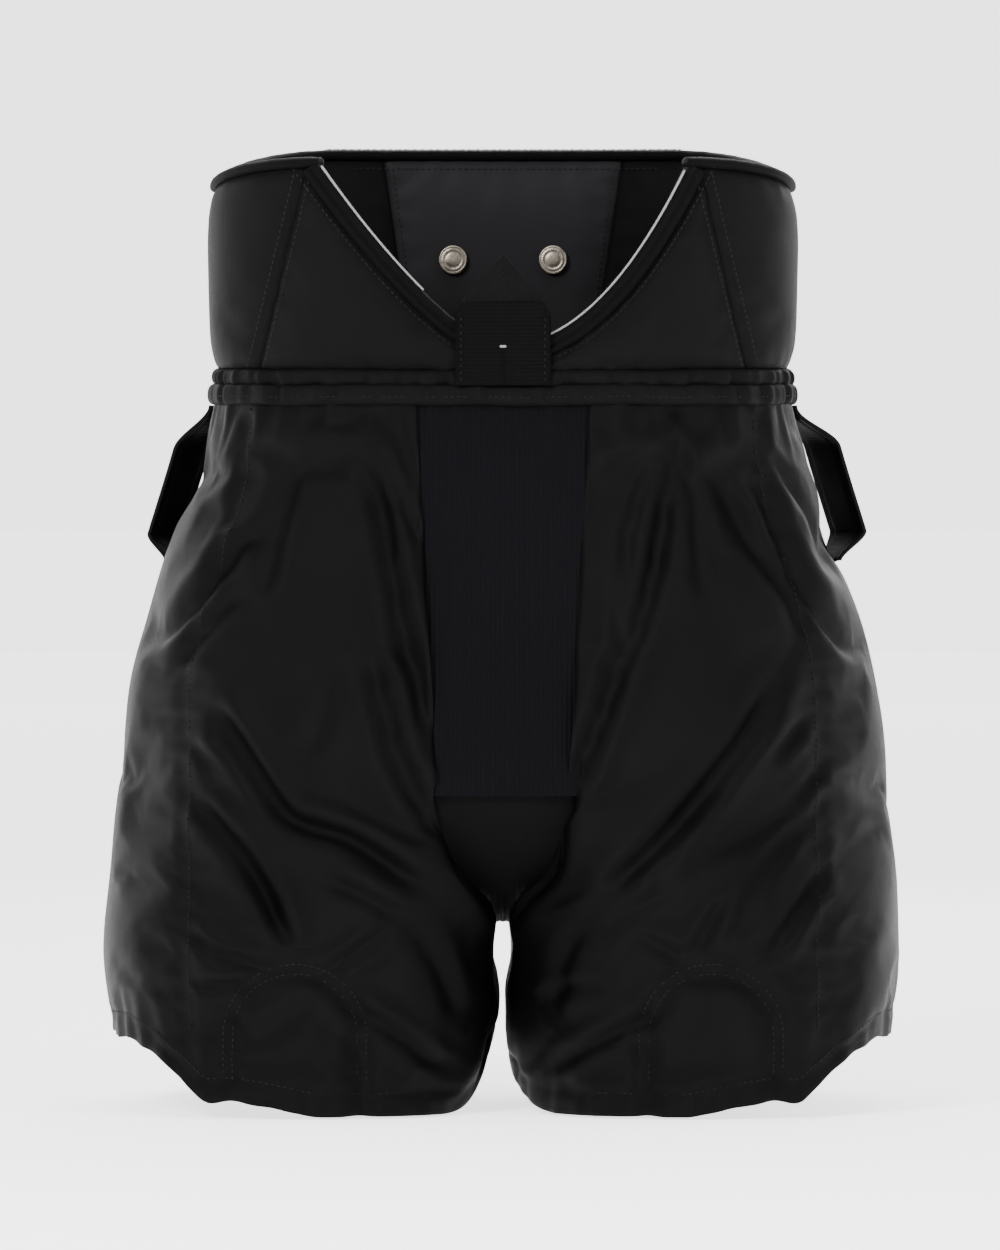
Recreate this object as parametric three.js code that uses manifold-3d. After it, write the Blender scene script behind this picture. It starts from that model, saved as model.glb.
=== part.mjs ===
import * as THREE from 'three';
import { mergeVertices } from 'three/addons/utils/BufferGeometryUtils.js';
import Module from 'manifold-3d';

// Goalkeeper's ice hockey pants, senior size. Millimetres, +Z up, the front faces -Y.
// The origin is under the middle of the garment, at the height of the lowest hem.
// Left and right are the wearer's: left is +X.

const wasm = await Module();
wasm.setup();

// Heights above the hem.
const waistHeight = 476;
const waistbandTop = 488;
const rollTop = 498;
const notchBottom = 515;
const peakHeight = 641;
const sideTopHeight = 626;
const backTopHeight = 650;
const hipAxisHeight = 270;
const knitBottom = 221;
const legTopFront = 146;
const legTopBack = 215;
const swingClearance = 8;
const legSwingForward = 35;
const archHeight = 96;

// Half widths and half depths of the outside, from the hem up.
const hemHalfWidth = 262;
const thighHalfWidth = 267;
const crotchHalfWidth = 257;
const hipHalfWidth = 249;
const seatHalfWidth = 226;
const flankHalfWidth = 204;
const waistHalfWidth = 195;
const beltTopHalfWidth = 198;
const hemHalfDepth = 146;
const thighHalfDepth = 150;
const hipHalfDepth = 148;
const seatHalfDepth = 142;
const flankHalfDepth = 135;
const waistHalfDepth = 130;
const beltTopHalfDepth = 132;
const thighHeight = 95;
const crotchHeight = 215;
const hipHeight = 290;
const seatHeight = 369;
const flankHeight = 440;
const legGapHalf = 7;

// Thickness of each layer.
const nylonThickness = 4;
const knitThickness = 3;
const flexThickness = 3;
const beltThickness = 14;
const bindingProud = 1;
const bindingThickness = beltThickness + 2 * bindingProud;
const bandThickness = 7;
const rollThickness = 10;
const hemThickness = 6;
const padThickness = 13;
const elasticThickness = 2;
const webbingThickness = 2.4;
const seamGap = 0.3;
const layerGap = 1.2;
const studGap = 0.9;
const guardGap = 3;

// Widths of the sewn pieces.
const bindingWidth = 13;
const topBindingWidth = 8;
const hemBandHeight = 17;
const outerHemRise = 50;
const innerHemRise = 43;
const notchHalfWidth = 127;
const notchPowerRight = 1.43;
const notchPowerLeft = 2.08;
const beltSeamTopX = 131;
const beltSeamBottomX = 166;
const backPadTopX = 84;
const backPadBottomX = 62;
const knitTopX = 58;
const knitBottomX = 44;
const sideSeamX = 216;
const sideSeamWaistX = 172;
const archCentreX = 139;
const archHalfWidth = 42;

// Places round the outside of a half (0 front middle, 1 back middle) and round a leg tube.
const padMargin = 0.02;
const guardMargin = 0.05;
const elasticStart = 0.17;
const inseamMitre = 0.03;

// The gusset is an arc about the hip axis, so the legs swing past it.
const gussetRadius = 150;
const gussetThickness = 3;
const gussetMiddleX = 20;
const gussetBackX = 24;
const gussetEndAngle = 161;
const gussetTaperStart = 30;
const gussetTaperEnd = 62;

// Pull tab at the front of the waist.
const tabWidth = 56;
const tabShoulder = 57;
const tabLength = 88;
const tabWrapWidth = 64;
const tabWrapLength = 56;
const tabWrapThickness = 1.8;
const tabSlitWidth = 1.4;
const tabSlitLength = 24;
const tabCornerRadius = 9;

// Webbing loops on the hips.
const loopAt = 0.6;
const loopWidth = 38;
const loopThickness = 3;
const loopTopHeight = 471;
const loopBottomHeight = 369;
const loopStandOff = 25;

// Suspender buttons.
const buttonRadius = 10;
const buttonThickness = 2.2;
const buttonDish = 1.2;
const studBaseRadius = 7;
const studBaseThickness = 1.2;
const studRadius = 2.5;
const studLength = 5;
const backButtonX = 35;
const backButtonHeight = 574;
const frontButtonHeight = 545;
const frontButtonInnerX = notchHalfWidth - 29;
const frontButtonOuterX = frontButtonInnerX + 38;

// Mesh fineness.
const cellWidth = 27;
const cellHeight = 38;
const roundSegments = 18;
const notchSegments = 9;
const drumSegments = 56;

const boxiness = 0.11;
const innerCornerAngle = 0.87;
const left = { name: 'left', sign: 1, notchPower: notchPowerLeft };
const right = { name: 'right', sign: -1, notchPower: notchPowerRight };
const sides = [left, right];

const stations = [
  { z: 0, halfWidth: hemHalfWidth, halfDepth: hemHalfDepth },
  { z: thighHeight, halfWidth: thighHalfWidth, halfDepth: thighHalfDepth },
  { z: crotchHeight, halfWidth: crotchHalfWidth, halfDepth: thighHalfDepth },
  { z: hipHeight, halfWidth: hipHalfWidth, halfDepth: hipHalfDepth },
  { z: seatHeight, halfWidth: seatHalfWidth, halfDepth: seatHalfDepth },
  { z: flankHeight, halfWidth: flankHalfWidth, halfDepth: flankHalfDepth },
  { z: waistHeight, halfWidth: waistHalfWidth, halfDepth: waistHalfDepth },
  { z: rollTop, halfWidth: waistHalfWidth, halfDepth: waistHalfDepth },
  { z: backTopHeight, halfWidth: beltTopHalfWidth, halfDepth: beltTopHalfDepth },
];

const lerp = THREE.MathUtils.lerp;
const smooth = (from, to, x) => THREE.MathUtils.smoothstep(x, from, to);

// Smooth curve through the stations.
function spline(key, z) {
  const last = stations.length - 1;
  if (z <= stations[0].z) return stations[0][key];
  if (z >= stations[last].z) return stations[last][key];
  const i = stations.findIndex((station) => station.z > z) - 1;
  const slope = (j) => {
    const below = stations[Math.max(j - 1, 0)];
    const above = stations[Math.min(j + 1, last)];
    return (above[key] - below[key]) / (above.z - below.z);
  };
  const span = stations[i + 1].z - stations[i].z;
  const t = (z - stations[i].z) / span;
  const startShare = (1 + 2 * t) * (1 - t) ** 2;
  const ends = stations[i][key] * startShare + stations[i + 1][key] * (1 - startShare);
  return ends + span * (slope(i) * t * (1 - t) ** 2 + slope(i + 1) * t * t * (t - 1));
}

// A rounded box of a loop, from the front (angle 0) round the outer side to the back.
function loopPoint(centreX, halfWidth, halfDepth, angle) {
  const swell = 1 + boxiness * Math.sin(2 * angle) ** 2;
  return { x: centreX + halfWidth * Math.sin(angle) * swell, y: -halfDepth * Math.cos(angle) * swell };
}

function legLoop(angle, z) {
  const outer = spline('halfWidth', z);
  return loopPoint((outer + legGapHalf) / 2, (outer - legGapHalf) / 2, spline('halfDepth', z), angle);
}

// How far the two leg tubes have merged into one body at a height.
const merged = (z) => smooth(thighHeight + 20, crotchHeight, z);

// The outside of one half: along = 0 at the front middle, 0.5 at the side, 1 at the back middle.
function outside(side, along, z) {
  const leg = legLoop(-innerCornerAngle + along * (Math.PI + 2 * innerCornerAngle), z);
  const body = loopPoint(0, spline('halfWidth', z), spline('halfDepth', z), along * Math.PI);
  const share = merged(z);
  return new THREE.Vector3(side.sign * lerp(leg.x, body.x, share), lerp(leg.y, body.y, share), z);
}

// The inside of one leg: along = 0 at the back edge of the outside, 1 at the front edge.
function inseam(side, along, z) {
  const angle = Math.PI + innerCornerAngle + along * (Math.PI - 2 * innerCornerAngle);
  const leg = legLoop(angle, z);
  const bodyY = spline('halfDepth', z) * (1 - 2 * along);
  const share = merged(z);
  return new THREE.Vector3(side.sign * lerp(leg.x, 0, share), lerp(leg.y, bodyY, share), z);
}

// One leg's whole tube: along runs from 0 at the front round the outer side and back to 1.
function legTube(side, along, z) {
  const point = legLoop(along * 2 * Math.PI, z);
  return new THREE.Vector3(side.sign * point.x, point.y, z);
}

// The whole body round the front middle (-1 right side, 0 front, 1 left side) or the back middle.
const aroundFront = (side, along, z) => outside(along < 0 ? right : left, Math.abs(along), z);
const aroundBack = (side, along, z) => outside(along > 0 ? right : left, 1 - Math.abs(along), z);

// The place on the front or the back of one half where the surface is x from the middle.
function alongAt(x, z, back = false) {
  let near = back ? 1 : 0;
  let far = 0.5;
  for (let step = 0; step < 40; step += 1) {
    const middle = (near + far) / 2;
    if (outside(left, middle, z).x < x) near = middle;
    else far = middle;
  }
  return (near + far) / 2;
}

// Height of the hem round a leg tube: low at front and back, raised at both sides.
function hemHeight(along) {
  const lean = Math.sin(along * 2 * Math.PI);
  return outerHemRise * smooth(0.3, 0.85, lean) + innerHemRise * smooth(0.75, 1, -lean);
}

// The same height for the outside and for the inseam.
const tubeAngle = (along) => -innerCornerAngle + along * (Math.PI + 2 * innerCornerAngle);
const hemUnderOutside = (along) => hemHeight(tubeAngle(along) / (2 * Math.PI));
const inseamAngle = (along) => Math.PI + innerCornerAngle + along * (Math.PI - 2 * innerCornerAngle);
const hemUnderInseam = (along) => hemHeight(inseamAngle(along) / (2 * Math.PI));

// Edges between panels, as half widths from the middle.
const beltSeamX = (z) => lerp(beltSeamBottomX, beltSeamTopX, (z - rollTop) / (peakHeight - rollTop));
const backPadX = (z) => lerp(backPadBottomX, backPadTopX, (z - rollTop) / (backTopHeight - rollTop));
const knitX = (z) => lerp(knitBottomX, knitTopX, Math.max(z - knitBottom, 0) / (waistHeight - knitBottom));
const seamX = (z) => lerp(sideSeamX, sideSeamWaistX, smooth(hipAxisHeight, waistHeight, z));
const gussetAngleAt = (z) => Math.asin(Math.min((hipAxisHeight - z) / gussetRadius, 1));
const gussetX = (angle) => {
  const backX = lerp(gussetMiddleX, gussetBackX, smooth(90, gussetEndAngle, angle));
  const taper = smooth(gussetTaperStart, gussetTaperEnd, angle);
  return angle > 90 ? backX : lerp(knitBottomX, gussetMiddleX, taper);
};
const centreX = (z) => (z >= knitBottom ? knitX(z) : gussetX(THREE.MathUtils.radToDeg(gussetAngleAt(z))));

// Height of the top edge of the belt at a place on one half.
function beltTop(along) {
  const peakAlong = alongAt(notchHalfWidth, peakHeight);
  if (along < 0.5) return lerp(peakHeight, sideTopHeight, smooth(peakAlong, 0.5, along));
  return lerp(sideTopHeight, backTopHeight, smooth(0.5, 0.82, along));
}

function outwardNormal(surface, side, along, z) {
  const stepAlong = 1e-3;
  const stepUp = 0.5;
  const across = surface(side, along + stepAlong, z).sub(surface(side, along - stepAlong, z));
  const up = surface(side, along, z + stepUp).sub(surface(side, along, z - stepUp));
  return across.cross(up).normalize();
}

function geometryOf(points, triangles) {
  const geometry = new THREE.BufferGeometry();
  const positions = points.flatMap((point) => [point.x, point.y, point.z]);
  geometry.setAttribute('position', new THREE.Float32BufferAttribute(positions, 3));
  geometry.setIndex(facingOut(points, triangles).flat());
  geometry.computeVertexNormals();
  return geometry;
}

function facingOut(points, triangles) {
  const volume = triangles.reduce((sum, [a, b, c]) => {
    const normal = new THREE.Vector3().crossVectors(points[b], points[c]);
    return sum + points[a].dot(normal);
  }, 0);
  return volume > 0 ? triangles : triangles.map(([a, b, c]) => [a, c, b]);
}

// A closed layer of cloth or foam. region(s, t) gives a place on the surface for s and t from 0 to 1;
// the layer lies between two depths under the surface and keeps half a seam gap to its neighbours.
function layer({
  surface = outside, side = left, region, width, height, outer = 0, thickness, ring = false,
}) {
  const columns = Math.max(2, Math.round(width / cellWidth));
  const rows = Math.max(1, Math.round(height / cellHeight));
  const at = (s, t) => surface(side, ...region(s, t));
  const points = [];
  const columnCount = ring ? columns : columns + 1;
  for (const depth of [outer, outer + thickness]) {
    for (let i = 0; i < columnCount; i += 1) {
      for (let j = 0; j <= rows; j += 1) {
        const insetS = ring ? 0 : seamGap / 2 / at(0, j / rows).distanceTo(at(1, j / rows));
        const insetT = seamGap / 2 / at(i / columns, 0).distanceTo(at(i / columns, 1));
        const place = region(lerp(insetS, 1 - insetS, i / columns), lerp(insetT, 1 - insetT, j / rows));
        const normal = outwardNormal(surface, side, ...place);
        const sign = surface === outside || surface === inseam || surface === legTube ? side.sign : 1;
        points.push(surface(side, ...place).addScaledVector(normal, -depth * sign));
      }
    }
  }
  const layerSize = columnCount * (rows + 1);
  const index = (i, j, face) => face * layerSize + (i % columnCount) * (rows + 1) + j;
  const triangles = [];
  const quad = (a, b, c, d) => triangles.push([a, b, c], [a, c, d]);
  for (let i = 0; i < columns; i += 1) {
    for (let j = 0; j < rows; j += 1) {
      quad(index(i, j, 0), index(i + 1, j, 0), index(i + 1, j + 1, 0), index(i, j + 1, 0));
      quad(index(i, j, 1), index(i, j + 1, 1), index(i + 1, j + 1, 1), index(i + 1, j, 1));
    }
    quad(index(i, 0, 1), index(i + 1, 0, 1), index(i + 1, 0, 0), index(i, 0, 0));
    quad(index(i, rows, 0), index(i + 1, rows, 0), index(i + 1, rows, 1), index(i, rows, 1));
  }
  for (let j = 0; j < rows && !ring; j += 1) {
    quad(index(0, j, 0), index(0, j + 1, 0), index(0, j + 1, 1), index(0, j, 1));
    quad(index(columns, j, 1), index(columns, j + 1, 1), index(columns, j + 1, 0), index(columns, j, 0));
  }
  return geometryOf(points, triangles);
}

// A region between two edges and two heights; each edge is a function of height, each height of s.
function between(startEdge, endEdge, lowEdge, highEdge) {
  return (s, t) => {
    const z = lerp(lowEdge(s), highEdge(s), t);
    return [lerp(startEdge(z), endEdge(z), s), z];
  };
}
const level = (value) => () => value;

function solidOf(geometry) {
  const bare = geometry.clone();
  bare.deleteAttribute('normal');
  bare.deleteAttribute('uv');
  const welded = mergeVertices(bare);
  return new wasm.Manifold(new wasm.Mesh({
    numProp: 3,
    vertProperties: new Float32Array(welded.attributes.position.array),
    triVerts: new Uint32Array(welded.index.array),
  }));
}

// The largest body of a cut solid, without the offcuts.
function geometryFrom(solid) {
  const bodies = solid.decompose().sort((a, b) => b.volume() - a.volume());
  const mesh = bodies[0].getMesh();
  const geometry = new THREE.BufferGeometry();
  geometry.setAttribute('position', new THREE.Float32BufferAttribute(mesh.vertProperties, 3));
  geometry.setIndex(Array.from(mesh.triVerts));
  geometry.computeVertexNormals();
  return geometry;
}

const group = new THREE.Group();

function add(name, geometry, finish) {
  const mesh = new THREE.Mesh(geometry, new THREE.MeshStandardMaterial(finish));
  mesh.name = name;
  group.add(mesh);
}

const nylon = { color: 0x17171a, roughness: 0.55, metalness: 0 };
const knit = { color: 0x0c0e16, roughness: 0.9, metalness: 0 };
const foam = { color: 0x303236, roughness: 0.95, metalness: 0 };
const tape = { color: 0x101013, roughness: 0.7, metalness: 0 };
const webbing = { color: 0x151517, roughness: 0.8, metalness: 0 };
const nickel = { color: 0x8d857b, roughness: 0.35, metalness: 0.9 };

// The notch's edge as points [x, height] from the middle to past the peak, moved out by a width.
function notchEdge(side, width) {
  const depth = peakHeight - notchBottom;
  const points = [];
  for (let i = 0; i <= notchSegments; i += 1) {
    const share = (1.15 * i) / notchSegments;
    const slope = (side.notchPower * depth * share ** (side.notchPower - 1)) / notchHalfWidth;
    const run = Math.hypot(1, slope);
    points.push([
      share * notchHalfWidth + (width * slope) / run,
      notchBottom + depth * share ** side.notchPower - width / run,
    ]);
  }
  return [[-bindingWidth, points[0][1]], ...points];
}

// A prism through the front of the belt with the given outline of [x, height] points.
function frontPrism(side, outline) {
  const shape = new THREE.Shape(outline.map(([x, z]) => new THREE.Vector2(side.sign * x, z)));
  const geometry = new THREE.ExtrudeGeometry(shape, { depth: 1.2 * waistHalfDepth, bevelEnabled: false });
  return solidOf(geometry.rotateX(Math.PI / 2));
}

// A strip along the top edge, from peak to peak round the back, between two depths below the edge.
function topStrip(end, low, high, outer, thickness) {
  const region = (s, t) => {
    const along = lerp(-end, end, s);
    return [along, beltTop(1 - Math.abs(along)) - lerp(low, high, t)];
  };
  const width = 4 * waistHalfWidth;
  return layer({ surface: aroundBack, region, width, height: topBindingWidth, outer, thickness });
}

// Padded belt: a wing on each side of the notch, a side and a back pad, cut off under the piping.
function addBelt() {
  const low = level(rollTop + layerGap / 2);
  const high = level(backTopHeight);
  const far = peakHeight + backTopHeight;
  const seam = (z) => alongAt(beltSeamX(z), z);
  const backSeam = (z) => alongAt(backPadX(z), z, true);
  const height = backTopHeight - rollTop;
  const bindingEnd = 1 - alongAt(notchHalfWidth - topBindingWidth / 2, peakHeight);
  const stripLow = topBindingWidth + 2 * seamGap;
  const stripDepth = beltThickness + 4 * bindingProud;
  const above = solidOf(topStrip(bindingEnd, stripLow, -height, -2 * bindingProud, stripDepth));
  const wing = (side, start, end, width, outer, thickness) => {
    const region = between(start, end, low, high);
    return solidOf(layer({ side, region, width, height, outer, thickness })).subtract(above);
  };
  for (const side of sides) {
    const hollow = [...notchEdge(side, bindingWidth + seamGap), [notchHalfWidth, far], [-bindingWidth, far]];
    const notch = frontPrism(side, hollow);
    const piping = frontPrism(side, [...notchEdge(side, 0), ...notchEdge(side, bindingWidth).reverse()]);
    const front = wing(side, level(0), seam, beltSeamBottomX, 0, beltThickness);
    const flank = wing(side, seam, backSeam, 2 * waistHalfWidth, 0, beltThickness);
    const strip = wing(side, level(0), level(0.5), 2 * notchHalfWidth, -bindingProud, bindingThickness);
    add(`belt_front_${side.name}`, geometryFrom(front.subtract(notch)), nylon);
    add(`belt_side_${side.name}`, geometryFrom(flank.subtract(notch)), nylon);
    add(`notch_binding_${side.name}`, geometryFrom(strip.intersect(piping)), tape);
  }
  const backEdge = (z) => 1 - backSeam(z);
  const back = layer({
    surface: aroundBack,
    region: between((z) => -backEdge(z), backEdge, low, high),
    width: 2 * backPadTopX,
    height,
    thickness: beltThickness,
  });
  add('belt_back', geometryFrom(solidOf(back).subtract(above)), nylon);
  add('top_binding', topStrip(bindingEnd, topBindingWidth, 0, -bindingProud, bindingThickness), tape);
}

// A band all round the body between two heights.
function bodyBand(low, high, outer, thickness) {
  const region = (s, t) => [s * 2 - 1, lerp(low, high, t)];
  const width = 4 * waistHalfWidth;
  return layer({ surface: aroundFront, region, width, height: high - low, outer, thickness, ring: true });
}

function addWaist() {
  add('belt_roll', bodyBand(waistbandTop, rollTop, 0, rollThickness), nylon);
  add('waistband', bodyBand(waistHeight, waistbandTop, -3, bandThickness), nylon);
}

// The space above the legs, as a prism along the hip axis. Its two slopes leave the legs room to swing.
function swingSpace(drop) {
  const apex = hipAxisHeight - swingClearance - drop;
  const reach = 2 * thighHalfDepth;
  const fall = (height) => ((apex - height + drop) * reach) / thighHalfDepth;
  const shape = new THREE.Shape();
  shape.moveTo(-reach, apex - fall(legTopFront));
  shape.lineTo(0, apex);
  shape.lineTo(reach, apex - fall(legTopBack));
  shape.lineTo(reach, backTopHeight);
  shape.lineTo(-reach, backTopHeight);
  shape.closePath();
  const geometry = new THREE.ExtrudeGeometry(shape, { depth: 4 * thighHalfWidth, bevelEnabled: false });
  const axes = [new THREE.Vector3(0, 1, 0), new THREE.Vector3(0, 0, 1), new THREE.Vector3(1, 0, 0)];
  geometry.applyMatrix4(new THREE.Matrix4().makeBasis(...axes));
  return solidOf(geometry.translate(-2 * thighHalfWidth, 0, 0));
}

// Stretch panel down the front middle, and the gusset between the legs.
function addMiddle() {
  const edge = (z) => alongAt(knitX(z), z);
  add('knit_panel', layer({
    surface: aroundFront,
    region: between((z) => -edge(z), edge, level(knitBottom), level(waistHeight)),
    width: 2 * knitTopX,
    height: waistHeight - knitBottom,
    thickness: knitThickness,
  }), knit);
  const startAngle = THREE.MathUtils.radToDeg(gussetAngleAt(knitBottom));
  const arc = (side, angle, x) => new THREE.Vector3(
    x,
    -gussetRadius * Math.cos(THREE.MathUtils.degToRad(angle)),
    hipAxisHeight - gussetRadius * Math.sin(THREE.MathUtils.degToRad(angle)),
  );
  add('crotch_gusset', layer({
    surface: arc,
    region: (s, t) => {
      const angle = lerp(startAngle, gussetEndAngle, s);
      return [angle, lerp(-1, 1, t) * gussetX(angle)];
    },
    width: gussetRadius * Math.PI,
    height: 2 * gussetMiddleX,
    thickness: gussetThickness,
  }), knit);
}

// Upper shell of one half, its pads, and the cloth that flexes between body and leg.
function addUpperShell(side) {
  const low = level(hipAxisHeight);
  const high = level(waistHeight);
  const frontEdge = (z) => alongAt(centreX(z), z);
  const frontSeam = (z) => alongAt(seamX(z), z);
  const backSeam = (z) => alongAt(seamX(z), z, true);
  const backMiddle = level(1);
  const height = waistHeight - hipAxisHeight;
  const panel = (start, end, width) => layer({
    side, region: between(start, end, low, high), width, height, thickness: nylonThickness,
  });
  add(`front_yoke_${side.name}`, panel(frontEdge, frontSeam, sideSeamX - knitTopX), nylon);
  add(`side_yoke_${side.name}`, panel(frontSeam, backSeam, 1.3 * hipHalfDepth), nylon);
  add(`back_yoke_${side.name}`, panel(backSeam, backMiddle, sideSeamX), nylon);
  const flexLow = level(legTopFront - hemBandHeight);
  const flexHigh = level(hipAxisHeight - layerGap);
  const flex = layer({
    side,
    region: between(frontEdge, backMiddle, flexLow, flexHigh),
    width: 3 * hipHalfDepth,
    height: hipAxisHeight - legTopFront,
    thickness: flexThickness,
  });
  add(`hip_flex_${side.name}`, geometryFrom(solidOf(flex).intersect(swingSpace(0))), nylon);
}

function addPads(side) {
  const low = hipAxisHeight + padThickness;
  const high = waistHeight - padThickness;
  const pad = (start, end, width) => layer({
    side,
    region: between(start, end, level(low), level(high)),
    width,
    height: high - low,
    outer: nylonThickness + layerGap,
    thickness: padThickness,
  });
  const frontEdge = (z) => alongAt(centreX(z), z) + padMargin;
  const frontSeam = (z) => alongAt(seamX(z), z);
  const backSeam = (z) => alongAt(seamX(z), z, true);
  const tailEdge = (z) => alongAt(backPadBottomX, z, true);
  const bellyEnd = (z) => frontSeam(z) - padMargin;
  const seatStart = (z) => backSeam(z) + padMargin;
  const seatEnd = (z) => tailEdge(z) - padMargin;
  add(`belly_pad_${side.name}`, pad(frontEdge, bellyEnd, sideSeamX - knitTopX), foam);
  add(`hip_pad_${side.name}`, pad(frontSeam, backSeam, 1.3 * hipHalfDepth), foam);
  add(`seat_pad_${side.name}`, pad(seatStart, seatEnd, sideSeamX / 2), foam);
}

function addTailPad() {
  const low = hipAxisHeight + padThickness;
  const high = waistHeight - padThickness;
  const edge = (z) => 1 - alongAt(backPadBottomX, z, true);
  add('tailbone_pad', layer({
    surface: aroundBack,
    region: between((z) => -edge(z), edge, level(low), level(high)),
    width: 2 * backPadBottomX,
    height: high - low,
    outer: nylonThickness + layerGap,
    thickness: padThickness,
  }), foam);
}

// A round-headed arch through the front of a leg, for the insert and the hole it fills.
function archCutter(side, grow) {
  const shape = new THREE.Shape();
  const half = archHalfWidth + grow;
  const spring = archHeight - archHalfWidth;
  shape.moveTo(-half, -archHeight);
  shape.lineTo(half, -archHeight);
  shape.lineTo(half, spring);
  shape.absarc(0, spring, half, 0, Math.PI, false);
  shape.closePath();
  const depth = thighHalfDepth;
  const geometry = new THREE.ExtrudeGeometry(shape, { depth, bevelEnabled: false, curveSegments: 6 });
  geometry.rotateX(Math.PI / 2);
  geometry.translate(side.sign * archCentreX, -thighHalfDepth / 2, 0);
  return solidOf(geometry);
}

function hipDrum(reach) {
  const radius = (reach + 2 * seamGap) / Math.cos(Math.PI / drumSegments);
  const drum = new THREE.CylinderGeometry(radius, radius, 2 * thighHalfWidth, drumSegments);
  return solidOf(drum.rotateZ(Math.PI / 2).translate(0, 0, hipAxisHeight));
}

// The space an inseam keeps from the gusset, and in front from the knit panel's foot it swings past.
function inseamClearance() {
  const knitFoot = Math.hypot(thighHalfDepth, hipAxisHeight - knitBottom);
  const footAngle = Math.atan2(hipAxisHeight - knitBottom, thighHalfDepth);
  const edge = -knitFoot * Math.cos(footAngle + THREE.MathUtils.degToRad(legSwingForward + 2));
  const ahead = new THREE.BoxGeometry(2 * thighHalfWidth, backTopHeight, backTopHeight);
  const front = solidOf(ahead.translate(0, edge - backTopHeight / 2, backTopHeight / 2));
  return hipDrum(gussetRadius).add(hipDrum(knitFoot).intersect(front));
}

function addLeg(side) {
  const frontSeam = (z) => alongAt(seamX(z), z);
  const backSeam = (z) => alongAt(seamX(z), z, true);
  const height = hipAxisHeight;
  const space = swingSpace(seamGap);
  const hemRing = (low, high, outer, thickness) => layer({
    surface: legTube,
    side,
    region: (s, t) => [s, hemHeight(s) + lerp(low, high, t)],
    width: 4.5 * thighHalfDepth,
    height: hemBandHeight,
    outer,
    thickness,
    ring: true,
  });
  const hemSpace = solidOf(hemRing(-hemBandHeight, hemBandHeight + 3 * seamGap, -2, 2 * hemThickness));
  const cut = (solid) => solid.subtract(space).subtract(hemSpace);
  const panel = (start, end, width) => {
    const low = (s) => hemUnderOutside(lerp(start(0), end(0), s)) + hemBandHeight / 2;
    const region = between(start, end, low, level(hipAxisHeight));
    return cut(solidOf(layer({ side, region, width, height, thickness: nylonThickness })));
  };
  const front = panel(level(0), frontSeam, 1.3 * sideSeamX);
  const cutter = archCutter(side, 0);
  add(`thigh_front_${side.name}`, geometryFrom(front.subtract(archCutter(side, seamGap))), nylon);
  add(`arch_insert_${side.name}`, geometryFrom(front.intersect(cutter)), nylon);
  add(`thigh_side_${side.name}`, geometryFrom(panel(frontSeam, backSeam, 1.5 * hipHalfDepth)), nylon);
  add(`thigh_back_${side.name}`, geometryFrom(panel(backSeam, level(1), 1.3 * sideSeamX)), nylon);
  const mitre = (z) => inseamMitre * merged(z);
  const inseamEnd = (z) => 1 - mitre(z);
  const inseamLow = (s) => hemUnderInseam(s) + hemBandHeight / 2;
  const inseamPanel = solidOf(layer({
    surface: inseam,
    side,
    region: between(mitre, inseamEnd, inseamLow, level(hipAxisHeight)),
    width: 2 * thighHalfDepth,
    height,
    thickness: nylonThickness,
  }));
  add(`inseam_panel_${side.name}`, geometryFrom(cut(inseamPanel).subtract(inseamClearance())), nylon);
  const floor = new THREE.BoxGeometry(4 * thighHalfWidth, 4 * thighHalfWidth, hemBandHeight);
  const underFloor = solidOf(floor.translate(0, 0, -hemBandHeight / 2));
  const hem = solidOf(hemRing(-1, hemBandHeight, 0, hemThickness)).subtract(underFloor);
  add(`hem_band_${side.name}`, geometryFrom(hem), nylon);
  add(`hem_elastic_${side.name}`, layer({
    surface: legTube,
    side,
    region: (s, t) => {
      const along = lerp(elasticStart, 0.5 - elasticStart, s);
      return [along, hemHeight(along) + lerp(0.2, 0.8, t) * hemBandHeight];
    },
    width: 2 * thighHalfDepth,
    height: hemBandHeight,
    outer: hemThickness + layerGap,
    thickness: elasticThickness,
  }), tape);
  const guardStart = level(guardMargin);
  const guardEnd = (z) => frontSeam(z) - guardMargin / 4;
  const guardFoot = hemBandHeight + padThickness;
  const guardLow = (s) => hemUnderOutside(lerp(guardStart(0), guardEnd(0), s)) + guardFoot;
  add(`thigh_guard_${side.name}`, layer({
    side,
    region: between(guardStart, guardEnd, guardLow, level(legTopFront - padThickness)),
    width: sideSeamX,
    height: legTopFront,
    outer: nylonThickness + guardGap,
    thickness: padThickness,
  }), foam);
}

// Webbing pull tab: two legs folded to a point, and the tape wrapped over their feet.
function tabShape(width, length, point) {
  const half = width / 2;
  const slit = tabSlitWidth / 2;
  const shape = new THREE.Shape();
  shape.moveTo(-half, 0);
  shape.lineTo(-slit, 0);
  shape.lineTo(-slit, tabSlitLength);
  shape.lineTo(slit, tabSlitLength);
  shape.lineTo(slit, 0);
  shape.lineTo(half, 0);
  if (point) {
    shape.lineTo(half, point);
    shape.lineTo(0, length);
    shape.lineTo(-half, point);
  } else {
    const cornerX = half - tabCornerRadius;
    const cornerZ = length - tabCornerRadius;
    shape.absarc(cornerX, cornerZ, tabCornerRadius, 0, Math.PI / 2, false);
    shape.absarc(-cornerX, cornerZ, tabCornerRadius, Math.PI / 2, Math.PI, false);
  }
  shape.closePath();
  return shape;
}

function standingPlate(shape, depth, frontY) {
  const geometry = new THREE.ExtrudeGeometry(shape, { depth, bevelEnabled: false, curveSegments: 4 });
  geometry.rotateX(Math.PI / 2);
  geometry.translate(0, frontY + depth, waistbandTop + seamGap);
  return geometry;
}

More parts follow.
